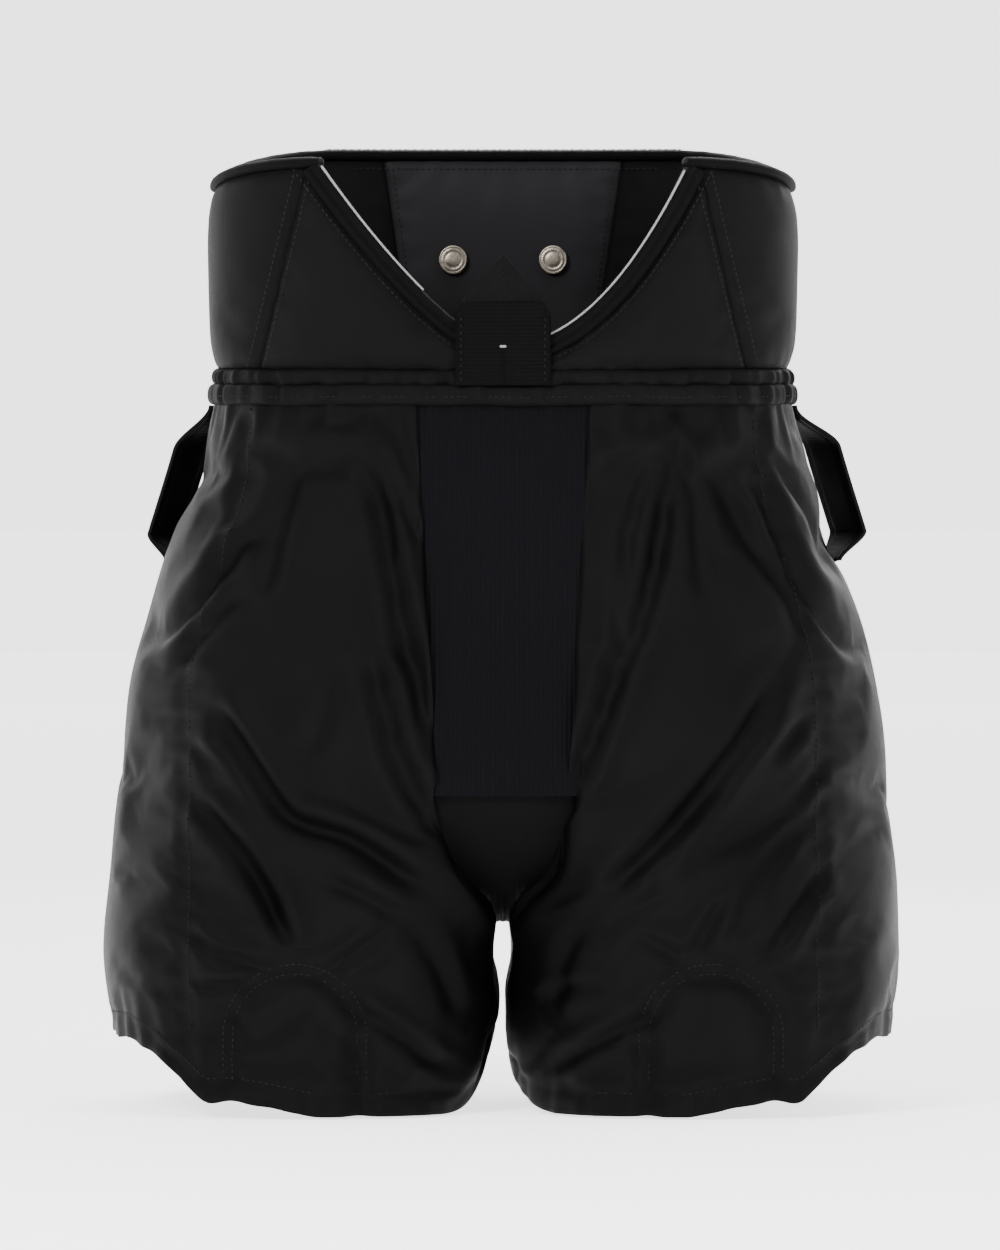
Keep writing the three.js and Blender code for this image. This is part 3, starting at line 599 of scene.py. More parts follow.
# Folds seen from the front as (x, height) points with a depth and a width, all in mm
frontFolds = {
    -1: [
        ([(-93, 452), (-82, 401), (-69, 341), (-53, 275), (-44, 231)], 7.0, 9),
        ([(-88, 317), (-78, 275), (-69, 237), (-42, 180)], 7.0, 10),
        ([(-86, 456), (-72, 420), (-53, 377)], 4.0, 5),
        ([(-237, 310), (-192, 361), (-170, 396)], 4.5, 9),
        ([(-230, 290), (-192, 336), (-176, 352)], 3.5, 8),
        ([(-199, 273), (-186, 264), (-166, 231), (-143, 197), (-104, 188), (-69, 162), (-37, 140)], 7.5, 10),
        ([(-212, 250), (-192, 231)], 3.5, 6),
        ([(-212, 220), (-182, 184), (-157, 153), (-140, 110)], 6.0, 9),
        ([(-173, 172), (-152, 140), (-138, 107)], 4.0, 6),
        ([(-216, 127), (-189, 109), (-150, 99)], 4.0, 6),
        ([(-214, 90), (-186, 88), (-160, 92)], 3.0, 5),
        ([(-116, 101), (-95, 112), (-71, 133)], 4.0, 6),
        ([(-109, 80), (-67, 54), (-36, 29)], 4.0, 7),
        ([(-140, 440), (-150, 400), (-158, 340)], 3.0, 10),
        ([(-110, 300), (-120, 262), (-130, 240)], 2.5, 9),
        ([(-60, 130), (-42, 96), (-30, 60)], 3.5, 9),
        ([(-120, 160), (-95, 150), (-60, 128)], 3.5, 7),
    ],
    1: [
        ([(121, 465), (112, 430), (103, 374), (90, 330), (68, 275), (52, 235), (30, 175), (19, 153)], 7.5, 9),
        ([(101, 441), (86, 396), (77, 330), (63, 264)], 5.0, 7),
        ([(196, 310), (167, 264), (156, 246), (112, 193), (86, 167), (63, 146)], 7.5, 10),
        ([(143, 436), (165, 386), (189, 354), (211, 308)], 5.0, 10),
        ([(160, 460), (192, 365), (222, 326), (243, 301)], 4.5, 9),
        ([(178, 445), (207, 405), (222, 370), (236, 339)], 4.0, 8),
        ([(207, 268), (178, 235)], 4.0, 6),
        ([(218, 235), (196, 208)], 4.0, 6),
        ([(218, 170), (196, 136), (173, 103)], 5.0, 8),
        ([(114, 74), (73, 56), (31, 31)], 4.0, 7),
        ([(90, 124), (120, 105)], 3.5, 6),
        ([(26, 74), (40, 87), (73, 87)], 3.5, 6),
        ([(130, 110), (134, 125), (150, 150)], 3.5, 6),
        ([(150, 230), (120, 195), (95, 150)], 3.0, 9),
        ([(204, 200), (170, 160), (150, 112)], 3.5, 7),
        ([(52, 130), (40, 100), (34, 60)], 3.0, 9),
        ([(118, 455), (128, 400), (134, 330)], 4.0, 9),
    ],
}
backFolds = [
    ([(40, 440), (70, 360), (120, 290)], 5.0, 12),
    ([(110, 455), (128, 390), (165, 320)], 4.5, 11),
    ([(165, 450), (190, 390), (222, 340)], 4.0, 9),
    ([(18, 300), (60, 235), (130, 205), (190, 210)], 7.0, 12),
    ([(20, 235), (60, 195), (120, 170)], 5.0, 10),
    ([(205, 300), (160, 250), (100, 235)], 4.5, 10),
    ([(214, 180), (160, 140), (110, 132)], 4.5, 10),
    ([(60, 150), (90, 105), (100, 60)], 4.0, 10),
    ([(205, 110), (165, 84), (120, 78)], 4.0, 8),
    ([(40, 110), (60, 70), (52, 40)], 3.5, 8),
    ([(140, 230), (175, 190), (214, 140)], 3.5, 9),
]


def foldDepth(x, z, folds):
    total = np.zeros(x.shape)
    for line, depth, width in folds:
        points = np.array(line, float)
        # a smooth line through the chosen points
        fine = np.linspace(0, len(points) - 1, 8 * (len(points) - 1) + 1)
        xs = np.interp(fine, range(len(points)), points[:, 0])
        zs = np.interp(fine, range(len(points)), points[:, 1])
        for _ in range(6):
            xs[1:-1] = (xs[:-2] + 2 * xs[1:-1] + xs[2:]) / 4
            zs[1:-1] = (zs[:-2] + 2 * zs[1:-1] + zs[2:]) / 4
        best = np.full(x.shape, 1e9)
        side, share = np.zeros(x.shape), np.zeros(x.shape)
        for i in range(len(xs) - 1):
            dx, dz = xs[i + 1] - xs[i], zs[i + 1] - zs[i]
            t = np.clip(((x - xs[i]) * dx + (z - zs[i]) * dz) / (dx * dx + dz * dz), 0, 1)
            ox, oz = x - xs[i] - t * dx, z - zs[i] - t * dz
            far = ox * ox + oz * oz
            closer = far < best
            best = np.where(closer, far, best)
            side = np.where(closer, np.sign(dx * oz - dz * ox) * np.sqrt(far), side)
            share = np.where(closer, (i + t) / (len(xs) - 1), share)
        ends = smooth(0, 0.22, share) * smooth(0, 0.22, 1 - share)
        valley = np.exp(-np.abs(side / (0.5 * width)) ** 1.6)
        ridge = 0.55 * np.exp(-((side - 1.25 * width) / (0.85 * width)) ** 2)
        ridge += 0.35 * np.exp(-((side + 1.45 * width) / (1.0 * width)) ** 2)
        total += depth * ends * (ridge - valley)
    return wrinkles["foldScale"] * total


def crotchLine(share):
    # the gusset's edge from the back (0) to the front (1)
    back, middle = crotch["back"], crotch["middleHalf"]
    angle = np.radians(mix(back, crotch["front"], share))
    degrees = np.degrees(angle)
    half = np.where(degrees > 90, mix(middle, crotch["backHalf"], smooth(90, back, degrees)),
                    mix(body["knitLow"], middle, smooth(30, 62, degrees)))
    half = half * mix(1, crotch["backPoint"], smooth(128, back, degrees))
    return half, -crotch["depth"] * np.cos(angle), crotch["centre"] - crotch["radius"] * np.sin(angle)


def startAlong(z):
    z = np.asarray(z, float)
    top = float(body["legTop"])
    corner = outside(1, 0.0, z)[..., 0]
    pulled = corner + (body["knitLow"] - outside(1, 0.0, top)[0]) * smooth(crotch["easeStart"], top, z)
    return np.where(z >= top, alongAt(knitX(z), z), alongAt(np.maximum(pulled, 0.01), z))


def shellGrid(sign):
    # the closed leg tube, then the open rows above its outside columns
    columns, inner = shell["columns"], shell["inseamColumns"]
    share = np.linspace(0, 1, columns)
    low = np.linspace(0, 1, shell["lowRows"])[:, None]
    hemOutside = hemHeight(outsideAngle(share), sign)
    hemOutside = hemOutside + wobble(share * 900, 2, 61) * 1.6
    hemOutside = np.maximum(hemOutside, 0.6)
    z = mix(hemOutside[None, :], body["legTop"], low)
    start = startAlong(z)
    lowOutside = outside(sign, mix(start, 1, share[None, :]), z)
    # the inside of the leg, up to the gusset
    b = np.linspace(0, 1, inner + 2)[1:-1]
    edgeX, edgeY, edgeZ = crotchLine(b)
    hemInside = hemHeight(inseamAngle(b), sign) + 0.6
    zi = mix(hemInside[None, :], edgeZ[None, :], low)
    inside = inseam(sign, b[None, :], zi)
    reach = mix(45, 93, np.abs(2 * b - 1))[None, :]
    pull = smooth(edgeZ[None, :] - reach, edgeZ[None, :], zi)[..., None]
    goal = stack(sign * edgeX, edgeY, edgeZ)
    inside = inside + (goal - inseam(sign, b, edgeZ))[None] * pull
    tube = np.concatenate([lowOutside, inside], axis=1)
    # ease the corners where the inseam meets the outside
    for _ in range(6):
        eased = (np.roll(tube, 1, axis=1) + 2 * tube + np.roll(tube, -1, axis=1)) / 4
        weight = np.zeros(columns + inner)
        weight[:5] = weight[-6:] = 1
        weight[columns - 5:columns + 6] = 1
        tube = mix(tube, eased, weight[None, :, None])
    # the legs meet under the crotch, so the cloth bulges towards the middle there
    wide = np.abs(tube[..., 0])
    bulge = 15 * np.exp(-((tube[..., 2] - 134) / 27) ** 2) * (1 - smooth(14, 58, wide)) * (tube[..., 1] < 90)
    tube[..., 0] = sign * np.maximum(wide - bulge, np.minimum(wide, 2.5))
    high = np.linspace(0, 1, shell["highRows"] + 1)[1:][:, None]
    zh = np.broadcast_to(mix(body["legTop"], waist["bottom"] + shell["tuck"], high),
                         (shell["highRows"], columns))
    upper = outside(sign, mix(startAlong(zh), 1, share[None, :]), zh)
    total = columns + inner
    faces = gridFaces(shell["lowRows"], total, closed=True, flip=sign < 0)
    base = shell["lowRows"] * total
    topLow = base - total
    for i in range(shell["highRows"]):
        for j in range(columns - 1):
            lower = topLow + j if i == 0 else base + (i - 1) * columns + j
            face = (lower, lower + 1, base + i * columns + j + 1, base + i * columns + j)
            faces.append(face[::-1] if sign < 0 else face)
    points = np.concatenate([tube.reshape(-1, 3), upper.reshape(-1, 3)])
    outer = np.concatenate([tube[:, :columns], upper], axis=0)
    lengths = gridLengths(outer)
    uvTube = np.zeros((shell["lowRows"], total, 2))
    uvTube[:, :columns] = lengths[:shell["lowRows"]]
    step = np.linspace(1, inner, inner) * 7.0
    uvTube[:, columns:, 0] = lengths[:shell["lowRows"], -1:, 0] + step
    uvTube[:, columns:, 1] = lengths[:shell["lowRows"], -1:, 1]
    uv = np.concatenate([uvTube.reshape(-1, 2), lengths[shell["lowRows"]:].reshape(-1, 2)])
    return points, faces, uv, hemOutside


def archArea(points):
    # how far outside the arch insert's first seam each point lies, and which points are in front
    x, y, height = points.T
    archX, spring = np.abs(x) - arch["centre"], arch["spring"]
    radial = np.where(height > spring, np.hypot(archX, height - spring), np.abs(archX)) - arch["radius"]
    return radial, (y < 0) & (height < 110)


def shellPress(sign, points, normals):
    # how far each point moves along the surface's own direction
    x, y, height = points.T
    frontShare = smooth(0.12, 0.5, -normals[:, 1]) * (y < 0)
    backShare = smooth(0.12, 0.5, normals[:, 1]) * (y > 0)
    press = foldDepth(x, height, frontFolds[sign]) * frontShare
    behind = foldDepth(x * sign + 9 * np.sin(height / 47 + sign), height, backFolds)
    press += wrinkles["backFolds"] * behind * backShare
    # soft cloud of slack, and gathers under the waist and over the hem
    run = np.arctan2(x - sign * 125, -y) * 170
    soft = np.sin(x / 31 + height / 23 + sign) * np.sin(height / 37 - x / 43 + 1.3 * sign)
    press += wrinkles["slack"] * soft * smooth(0, 30, height) * (1 - smooth(450, 478, height))
    around = np.arctan2(np.abs(x), -y) * 190
    press += (wrinkles["waist"] * wobble(around, 3 + sign, 17) * smooth(430, 474, height)
              * (1 - 0.3 * smooth(474, 479, height)))
    outerSide = smooth(0.3, 0.85, (np.abs(x) - body["legCentre"]) / 128)
    press += wrinkles["outerHem"] * wobble(run, 5 + sign, 11) * outerSide * (1 - smooth(52, 92, height))
    press += wrinkles["hem"] * wobble(run, 7 + sign, 19) * (1 - outerSide) * (1 - smooth(10, 46, height))
    # side seams: a pressed line with puckers beside it
    gap = np.abs(x) - sideSeamX(height)
    for onSide in (y < 0, y > 0):
        near = np.exp(-(gap / 4.0) ** 2) * onSide * (height < 470)
        rough = np.exp(-(gap / 13.0) ** 2) * onSide * (height < 440)
        press += -wrinkles["seamDepth"] * near + wrinkles["seamPucker"] * rough * wobble(height, 9 + sign, 15)
    # arch insert: a raised panel inside a double seam
    radial, frontOnly = archArea(points)
    press += frontOnly * arch["rise"] * (1 - smooth(-12, -1, radial))
    seams = np.exp(-(radial / 2.3) ** 2) + np.exp(-((radial - arch["seamGap"]) / 2.3) ** 2)
    press += frontOnly * -arch["seamDepth"] * seams
    beside = np.exp(-((radial - 3.2) / 12) ** 2)
    press += frontOnly * arch["pucker"] * beside * wobble(height + 0.8 * x, 12, 12)
    # the hem's stitched line, and a start a little inside the finished size
    lean = np.arctan2(np.abs(x) - body["legCentre"], -y)
    hemLine = height - hemHeight(lean, sign) - hemline["stitchLine"]
    press += -hemline["seamDepth"] * np.exp(-(hemLine / 2.2) ** 2)
    press += (-shell["inset"] * smooth(0, 40, height) * (1 - smooth(425, 470, height))
              * smooth(50, 110, np.abs(x)))
    return press


def splitRows(values):
    # the tube's rows and the rows above it
    total = shell["columns"] + shell["inseamColumns"]
    base = shell["lowRows"] * total
    low = values[:base].reshape(shell["lowRows"], total, *values.shape[1:])
    return low, values[base:].reshape(shell["highRows"], shell["columns"], *values.shape[1:])


def shellPins(points):
    # held at the seams, half held at the hem, the side seams and the arch
    columns = shell["columns"]
    x, _, height = points.T
    pins = np.zeros(len(points))
    lowGrid, highGrid = splitRows(np.arange(len(points)))
    pins[lowGrid[0]] = 0.8
    pins[lowGrid[1]] = 0.4
    pins[lowGrid[-1, columns:]] = 1
    pins[lowGrid[-1, [0, columns - 1]]] = 1
    pins[highGrid[-1]] = 1
    pins[highGrid[:, 0]] = 1
    pins[highGrid[:, -1]] = 1
    sewnSide = np.exp(-((np.abs(x) - sideSeamX(height)) / 3.5) ** 2) * (height < 470)
    pins = np.maximum(pins, 0.5 * (sewnSide > 0.5))
    radial, frontOnly = archArea(points)
    return np.maximum(pins, frontOnly * 0.6 * (np.abs(radial - 3) < 5))


def buildShell(sign):
    name = sideName(sign)
    points, faces, uv, hemOutside = shellGrid(sign)
    piece = finishMesh(f"shell_{name}", points, faces, uv)
    normals = np.array([v.normal for v in piece.data.vertices])
    writePoints(piece, points + normals * shellPress(sign, points, normals)[:, None])
    pins = shellPins(points)
    inflate(piece, pins, shell["pressure"], shell["cap"], shell["extra"], shell["stiffness"],
            shell["bending"], shell["frames"])
    tube, upper = splitRows(readPoints(piece))
    outerGrid = np.concatenate([tube[:, :shell["columns"]], upper], axis=0)
    smoothRounds(piece)
    thicken(piece, shell["thick"])
    dress(piece, "shellNylon")
    nodes = ["front_yoke", "side_yoke", "back_yoke", "hip_flex", "thigh_front", "thigh_side", "thigh_back",
             "arch_insert", "inseam_panel", "hem_band"]
    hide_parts(*[f"{node}_{name}" for node in nodes])
    bendShell(piece)
    return outerGrid, hemOutside


def bendShell(piece):
    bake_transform(piece)


shells = {sign: buildShell(sign) for sign in (1, -1)}
print("shells sewn")


# A place on the finished shell: how far round the outside (0 to 1) and how high
def onShell(sign, along, z, lift=0.0):
    grid, hems = shells[sign]
    along, z = np.broadcast_arrays(np.asarray(along, float), np.asarray(z, float))
    columns, top = shell["columns"], body["legTop"]
    start = startAlong(z)
    q = np.clip((along - start) / (1 - start), 0, 1) * (columns - 1)
    hem = np.interp(q, np.arange(columns), hems)
    lowRow = (z - hem) / (top - hem) * (shell["lowRows"] - 1)
    highShare = (z - top) / (waist["bottom"] + shell["tuck"] - top)
    highRow = (shell["lowRows"] - 1) + highShare * shell["highRows"]
    row = np.clip(np.where(z < top, lowRow, highRow), 0, grid.shape[0] - 1.001)
    q = np.clip(q, 0, columns - 1.001)
    i, j = row.astype(int), q.astype(int)
    fi, fj = (row - i)[..., None], (q - j)[..., None]
    a, b, c, d = grid[i, j], grid[i, j + 1], grid[i + 1, j], grid[i + 1, j + 1]
    place = mix(mix(a, b, fj), mix(c, d, fj), fi)
    normal = unit(np.cross(b - a + d - c, c - a + d - b)) * sign
    return place + normal * lift, normal


# Padded pieces: two faces joined round a sewn rim, puffed with air
padding = {"pressure": 5.0, "cap": 4.5, "extra": 0.012, "stiffness": 14.0, "bending": 0.5, "frames": 18,
           "cell": 6.0, "rimDepth": 0.34, "pucker": 2.0, "puckerPitch": 10}


def padFrom(name, place, width, height, thickness, finish, crown=1.0, puffed=True):
    # place(s, t, depth) gives a point of the pad; s and t run 0 to 1 across and up
    columns = int(np.clip(round(width / padding["cell"]), 8, 110)) + 1
    rows = int(np.clip(round(height / padding["cell"]), 6, 60)) + 1
    s, t = np.meshgrid(np.linspace(0, 1, columns), np.linspace(0, 1, rows))
    edge = np.minimum(np.minimum(s, 1 - s) * width, np.minimum(t, 1 - t) * height)
    rise = smooth(-4, 20, edge) ** 0.6
    rim = thickness * padding["rimDepth"]
    front = place(s, t, mix(rim, -0.6 * crown, rise))
    back = place(s, t, mix(thickness - rim, thickness * 0.94, rise))
    points, faces, uv, loop = slab(front, back)
    piece = finishMesh(name, points, faces, uv)
    if puffed:
        pins = np.zeros(len(points))
        pins[loop] = 1
        pins[[rows * columns + k for k in loop]] = 1
        inflate(piece, pins, padding["pressure"], padding["cap"], padding["extra"], padding["stiffness"],
                padding["bending"], padding["frames"])
        now = readPoints(piece)
        normals = np.array([v.normal for v in piece.data.vertices])
        nearEdge = np.tile(np.exp(-(edge / 11.0) ** 2).ravel(), 2)
        upright = np.minimum(s, 1 - s) * width < np.minimum(t, 1 - t) * height
        alongEdge = np.tile(np.where(upright, t * height, s * width).ravel(), 2)
        pinch = padding["pucker"] * wobble(alongEdge, len(name), padding["puckerPitch"]) * nearEdge
        pinch = pinch * (np.tile(edge.ravel(), 2) > 1)
        writePoints(piece, now + normals * pinch[:, None])
    smoothRounds(piece)
    dress(piece, finish)
    return piece


def notchCurve(sign, share, width):
    # the notch's edge moved out by a width; share 0 is the middle, 1 the peak
    share = np.maximum(np.asarray(share, float), 1e-4)
    power, depth, half = belt["powers"][sign], belt["peak"] - belt["notchBottom"], belt["notchHalf"]
    slope = power * depth * share ** (power - 1) / half
    run = np.hypot(1, slope)
    return share * half + width * slope / run, belt["notchBottom"] + depth * share ** power - width / run


def buildBelt():
    low = waist["rollTop"] - belt["tuck"] / 2
    thick = belt["thick"]
    for sign in (1, -1):
        name = sideName(sign)
        shares = np.linspace(0, 1.15, 200)
        underX, underZ = notchCurve(sign, shares, belt["bindingWidth"] - belt["tuck"])
        order = np.argsort(underX)

        def frontPlace(s, t, depth):
            top = np.full(s.shape, 600.0)
            for _ in range(30):
                x = s * beltSeamX(top)
                edge = np.interp(x, underX[order], underZ[order], left=belt["notchBottom"] - 13.4)
                cap = beltTop(alongAt(np.maximum(x, 1), 630)) - belt["topWidth"] + belt["tuck"]
                top = 0.5 * top + 0.5 * np.clip(np.minimum(edge, cap), low + 3, 650)
            z = mix(low, top, t)
            x = np.maximum(s * (beltSeamX(z) + belt["tuck"] / 2), 0.15)
            return under(sign, alongAt(x, z), z, depth)

        def sidePlace(s, t, depth):
            z = np.full(np.shape(s * t), 560.0)
            for _ in range(4):
                tuck = belt["tuck"] / 2
                a = mix(alongAt(beltSeamX(z) - tuck, z), alongAt(beltBackX(z) - tuck, z, True), s)
                z = mix(low, beltTop(a) - belt["topWidth"] + belt["tuck"], t)
            return under(sign, a, z, depth)

        front = padFrom(f"beltFront_{name}", frontPlace, 190, 128, thick, "beltNylon")
        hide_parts(f"belt_front_{name}")
        side = padFrom(f"beltSide_{name}", sidePlace, 250, 128, thick, "beltNylon")
        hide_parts(f"belt_side_{name}")
        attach(front, "body")
        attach(side, "body")

    def backPlace(s, t, depth):
        z = np.full(np.shape(s * t), 570.0)
        for _ in range(4):
            a = alongAt(np.maximum(np.abs(2 * s - 1) * (beltBackX(z) + belt["tuck"] / 2), 0.1), z, True)
            z = mix(low, beltTop(a) - belt["topWidth"] + belt["tuck"], t)
        turn = np.where(s < 0.5, a, -a)
        return roundBody(turn, z, depth)

    # the back pad wears the finish with painted light on its inner face
    back = padFrom("beltBack", backPlace, 150, 143, thick, "beltNylonPaintedLight", crown=0.6)
    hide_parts("belt_back")
    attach(back, "body")


buildBelt()
print("belt padded")


# Piping and bands: a cross-section carried along a path; place(u, a, b) turns it into points
def loft(name, place, section, stations, closed, finish):
    section = np.array(section, float)
    count = len(section)
    u = np.asarray(stations, float)
    points = np.concatenate([place(np.full(count, v), section[:, 0], section[:, 1]) for v in u])
    rows = len(u)
    faces = []
    for i in range(rows if closed else rows - 1):
        k = (i + 1) % rows
        for j in range(count):
            m = (j + 1) % count
            faces.append((i * count + j, i * count + m, k * count + m, k * count + j))
    if not closed:
        faces += [tuple(range(count))[::-1], tuple((rows - 1) * count + j for j in range(count))]
    path = np.cumsum(np.r_[0, np.linalg.norm(np.diff(points[::count], axis=0), axis=1)])
    girth = np.cumsum(np.r_[0, np.linalg.norm(np.diff(section, axis=0), axis=1)])
    uv = np.stack([np.repeat(path, count), np.tile(girth, rows)], axis=-1)
    piece = finishMesh(name, points, turnedOut(points, faces), uv)
    smoothRounds(piece)
    dress(piece, finish)
    return piece


def roundCord(acrossMiddle, depthMiddle, acrossHalf, depthHalf, steps):
    angle = np.linspace(0, 2 * math.pi, steps, endpoint=False)
    return [(acrossMiddle + acrossHalf * math.cos(a), depthMiddle + depthHalf * math.sin(a)) for a in angle]


bands = {"rollBulge": 1.8, "bandBulge": 1.6, "gather": 1.9, "pipingRidge": 1.3,
         "paleStart": {-1: 0.42, 1: 0.2}}


def ovalSection(low, high, outer, inner, bulge, steps=14):
    # a closed loop in (height, depth): outer face at small depth, rounded like a stuffed roll
    angle = np.linspace(0, 2 * math.pi, steps, endpoint=False)
    a, b = np.cos(angle), np.sin(angle)
    square = 1 / np.maximum(np.abs(a) ** 2.6 + np.abs(b) ** 2.6, 1e-6) ** (1 / 2.6)
    middle, half = (low + high) / 2, (high - low) / 2
    centre, deep = (outer + inner) / 2, (inner - outer) / 2 + bulge / 2
    return [(middle + half * a[i] * square[i], centre - bulge / 2 + deep * b[i] * square[i])
            for i in range(steps)]


def buildBands():
    turns = np.linspace(-1, 1, 420, endpoint=False)

    def ring(seed, amount, pitch, sway):
        def place(turn, z, depth):
            arc = turn * 560
            crease = amount * wobble(arc, seed, pitch) * (1 + 0.5 * wobble(arc, seed + 2, 90))
            outer = 1 - smooth(-2, 6, depth)
            lift = sway * wobble(arc, seed + 5, 75)
            return roundBody(turn, z + lift, depth - crease * outer)
        return place

    roll = loft("beltRoll", ring(1, bands["gather"], 15, 0.5),
                ovalSection(waist["bandTop"] - 1.6, waist["rollTop"] + 1.4, 0, waist["rollThick"],
                            bands["rollBulge"]),
                turns, True, "beltNylon")
    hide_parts("belt_roll")
    band = loft("waistCasing", ring(4, bands["gather"], 19, 0.5),
                ovalSection(waist["bottom"] - 1.2, waist["bandTop"] + 1.2, -waist["bandProud"],
                            waist["bandThick"] - waist["bandProud"], bands["bandBulge"]),
                turns, True, "beltNylon")
    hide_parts("waistband")
    for piece in (roll, band):
        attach(piece, "body")

    # the rolled binding over the belt's top edge
    end = float(alongAt(belt["notchHalf"] - 4, belt["peak"]))

    def topPlace(share, drop, depth):
        along, turn = pastBack(mix(end, 2 - end, share))
        return roundBody(turn, beltTop(along) - drop + 0.25 * wobble(share * 1200, 3, 9), depth)

    topPiece = loft("topBinding", topPlace, ovalSection(0, belt["topWidth"], -1, 15, 0.6),
                    np.linspace(0, 1, 260), False, "edgeBinding")
    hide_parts("top_binding")
    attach(topPiece, "body")

    # worn pale lining just inside the back's top edge
    def liningPlace(share, drop, depth):
        along, turn = pastBack(mix(0.80, 1.20, share))
        return roundBody(turn, beltTop(along) - drop + 0.5 * wobble(share * 400, 6, 5), depth)

    lining = loft("paleEdge_back", liningPlace, roundCord(0.1, 13.6, 0.8, 1.0, 7),
                  np.linspace(0, 1, 200), False, "paleCord")
    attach(lining, "body")
    for sign in (1, -1):
        name = sideName(sign)

        def notchPlace(share, width, depth):
            x, z = notchCurve(sign, share, width)
            x = np.maximum(x, 0.1)
            return under(sign, alongAt(x, z), z, depth)

        ridge = bands["pipingRidge"]
        section = [(0.2, 4), (0.5, 0.6), (1.8, -0.9), (3.3, -1 - ridge), (5.0, -1 - 0.6 * ridge),
                   (6.3, -0.4), (7.6, -1 - 0.6 * ridge), (9.4, -1 - ridge), (11.2, -0.9), (12.6, 0.8),
                   (12.9, 5), (12.7, 11), (11, 14.6), (6.5, 15.2), (2, 14.6), (0.4, 10)]
        shares = np.linspace(0.012, 0.985, 90)
        piping = loft(f"notchBinding_{name}", notchPlace, section, shares, False,
                      "edgeBinding")
        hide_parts(f"notch_binding_{name}")
        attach(piping, "body")
        edge = loft(f"paleEdge_{name}", notchPlace, roundCord(-0.4, 2.2, 0.85, 1.4, 8),
                    np.linspace(bands["paleStart"][sign], 0.965, 90), False, "paleCord")
        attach(edge, "body")


buildBands()
print("bands and piping sewn")


# Ribbed knit down the front and the gusset between the legs
knitPanel = {"ribPitch": 3.2, "ribRise": 0.4, "thick": 2.4, "depth": 1.8, "tuck": 6, "bottom": 215,
             "seamHeight": 450}
gussetCloth = {"tuck": 4.5, "inset": 3.5, "sag": 2.4}


def buildKnit():
    columns, rows = 190, 90
    across = np.linspace(-1, 1, columns)[None, :]
    z = np.linspace(knitPanel["bottom"], waist["bottom"] + 3, rows)[:, None]
    half = knitX(z) + knitPanel["tuck"]
    x = across * half
    z = z + 0 * x
    ribs = knitPanel["ribRise"] * np.cos(2 * math.pi * x / knitPanel["ribPitch"])
    seam = -1.2 * np.exp(-((z - knitPanel["seamHeight"] - 0.004 * x * x) / 1.6) ** 2)
    ripple = 0.5 * wobble(x, 4, 24) * smooth(440, 478, z) + 0.7 * np.sin(z / 29 + x / 60)
    along = alongAt(np.maximum(np.abs(x), 0.05), z)
    depth = knitPanel["depth"] - ribs - seam - ripple + 1.2 * smooth(0.86, 1, np.abs(across))
    points = roundBody(along * np.sign(x + 1e-9), z, depth)
    panel = finishMesh("knitPanel", points, gridFaces(rows, columns), gridLengths(points))
    thicken(panel, knitPanel["thick"])
    dress(panel, "ribKnit")
    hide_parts("knit_panel")
    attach(panel, "body")
    columns, rows = 40, 90
    share = np.linspace(1.015, 0, rows)[:, None]
    half, y, height = crotchLine(np.clip(share, 0, 1))
    wide = half + gussetCloth["tuck"]
    x = np.linspace(-1, 1, columns)[None, :] * wide
    sag = gussetCloth["sag"] * (1 - (x / wide) ** 2)
    dip = 0.35 * np.cos(2 * math.pi * x / 4.2) + 0.8 * np.sin(share * 21 + x / 19)
    top = smooth(0.94, 1.0, share) * 3
    unitY, unitZ = y / crotch["depth"], (height - crotch["centre"]) / crotch["radius"]
    inward = gussetCloth["inset"] - dip - sag * 0.4
    points = stack(x, y - unitY * inward + top, height - unitZ * inward)
    gusset = finishMesh("crotchGusset", points, gridFaces(rows, columns), gridLengths(points))
    thicken(gusset, knitPanel["thick"], 1)
    dress(gusset, "edgeBinding")
    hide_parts("crotch_gusset")
    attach(gusset, "body")


buildKnit()
print("knit panel and gusset ready")


# Pull tab: two webbing legs folded to a point, with a wrap round their feet
tab = {"width": 56, "shoulder": 57, "length": 88, "thick": 2.4, "front": -134.0, "wrapWidth": 64,
       "wrapLength": 56, "wrapThick": 1.8, "wrapFront": -136.1, "wrapRadius": 11, "foot": 488.3,
       "slitHeight": 24, "ribPitch": 2.5, "wrapPitch": 2.6}


def plate(name, halfWidth, topAt, relief, frontY, thick, finish):
    s, t = np.meshgrid(np.linspace(-1, 1, 90), np.linspace(0, 1, 90))
    x = s * halfWidth
    top = topAt(x)
    z = tab["foot"] + t * top
    lift = relief(x, z - tab["foot"])
    edge = np.minimum((1 - np.abs(s)) * halfWidth, (1 - t) * top)
    front = stack(x, frontY - lift + 0.9 * (1 - smooth(0, 1.6, edge)), z)
    back = stack(x, np.full(x.shape, frontY + thick) - 0.3 * (1 - smooth(0, 1.6, edge)), z)
    points, faces, uv, _ = slab(front, back)
    piece = finishMesh(name, points, faces, uv)
    dress(piece, finish)
    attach(piece, "pull_tab")
    return piece


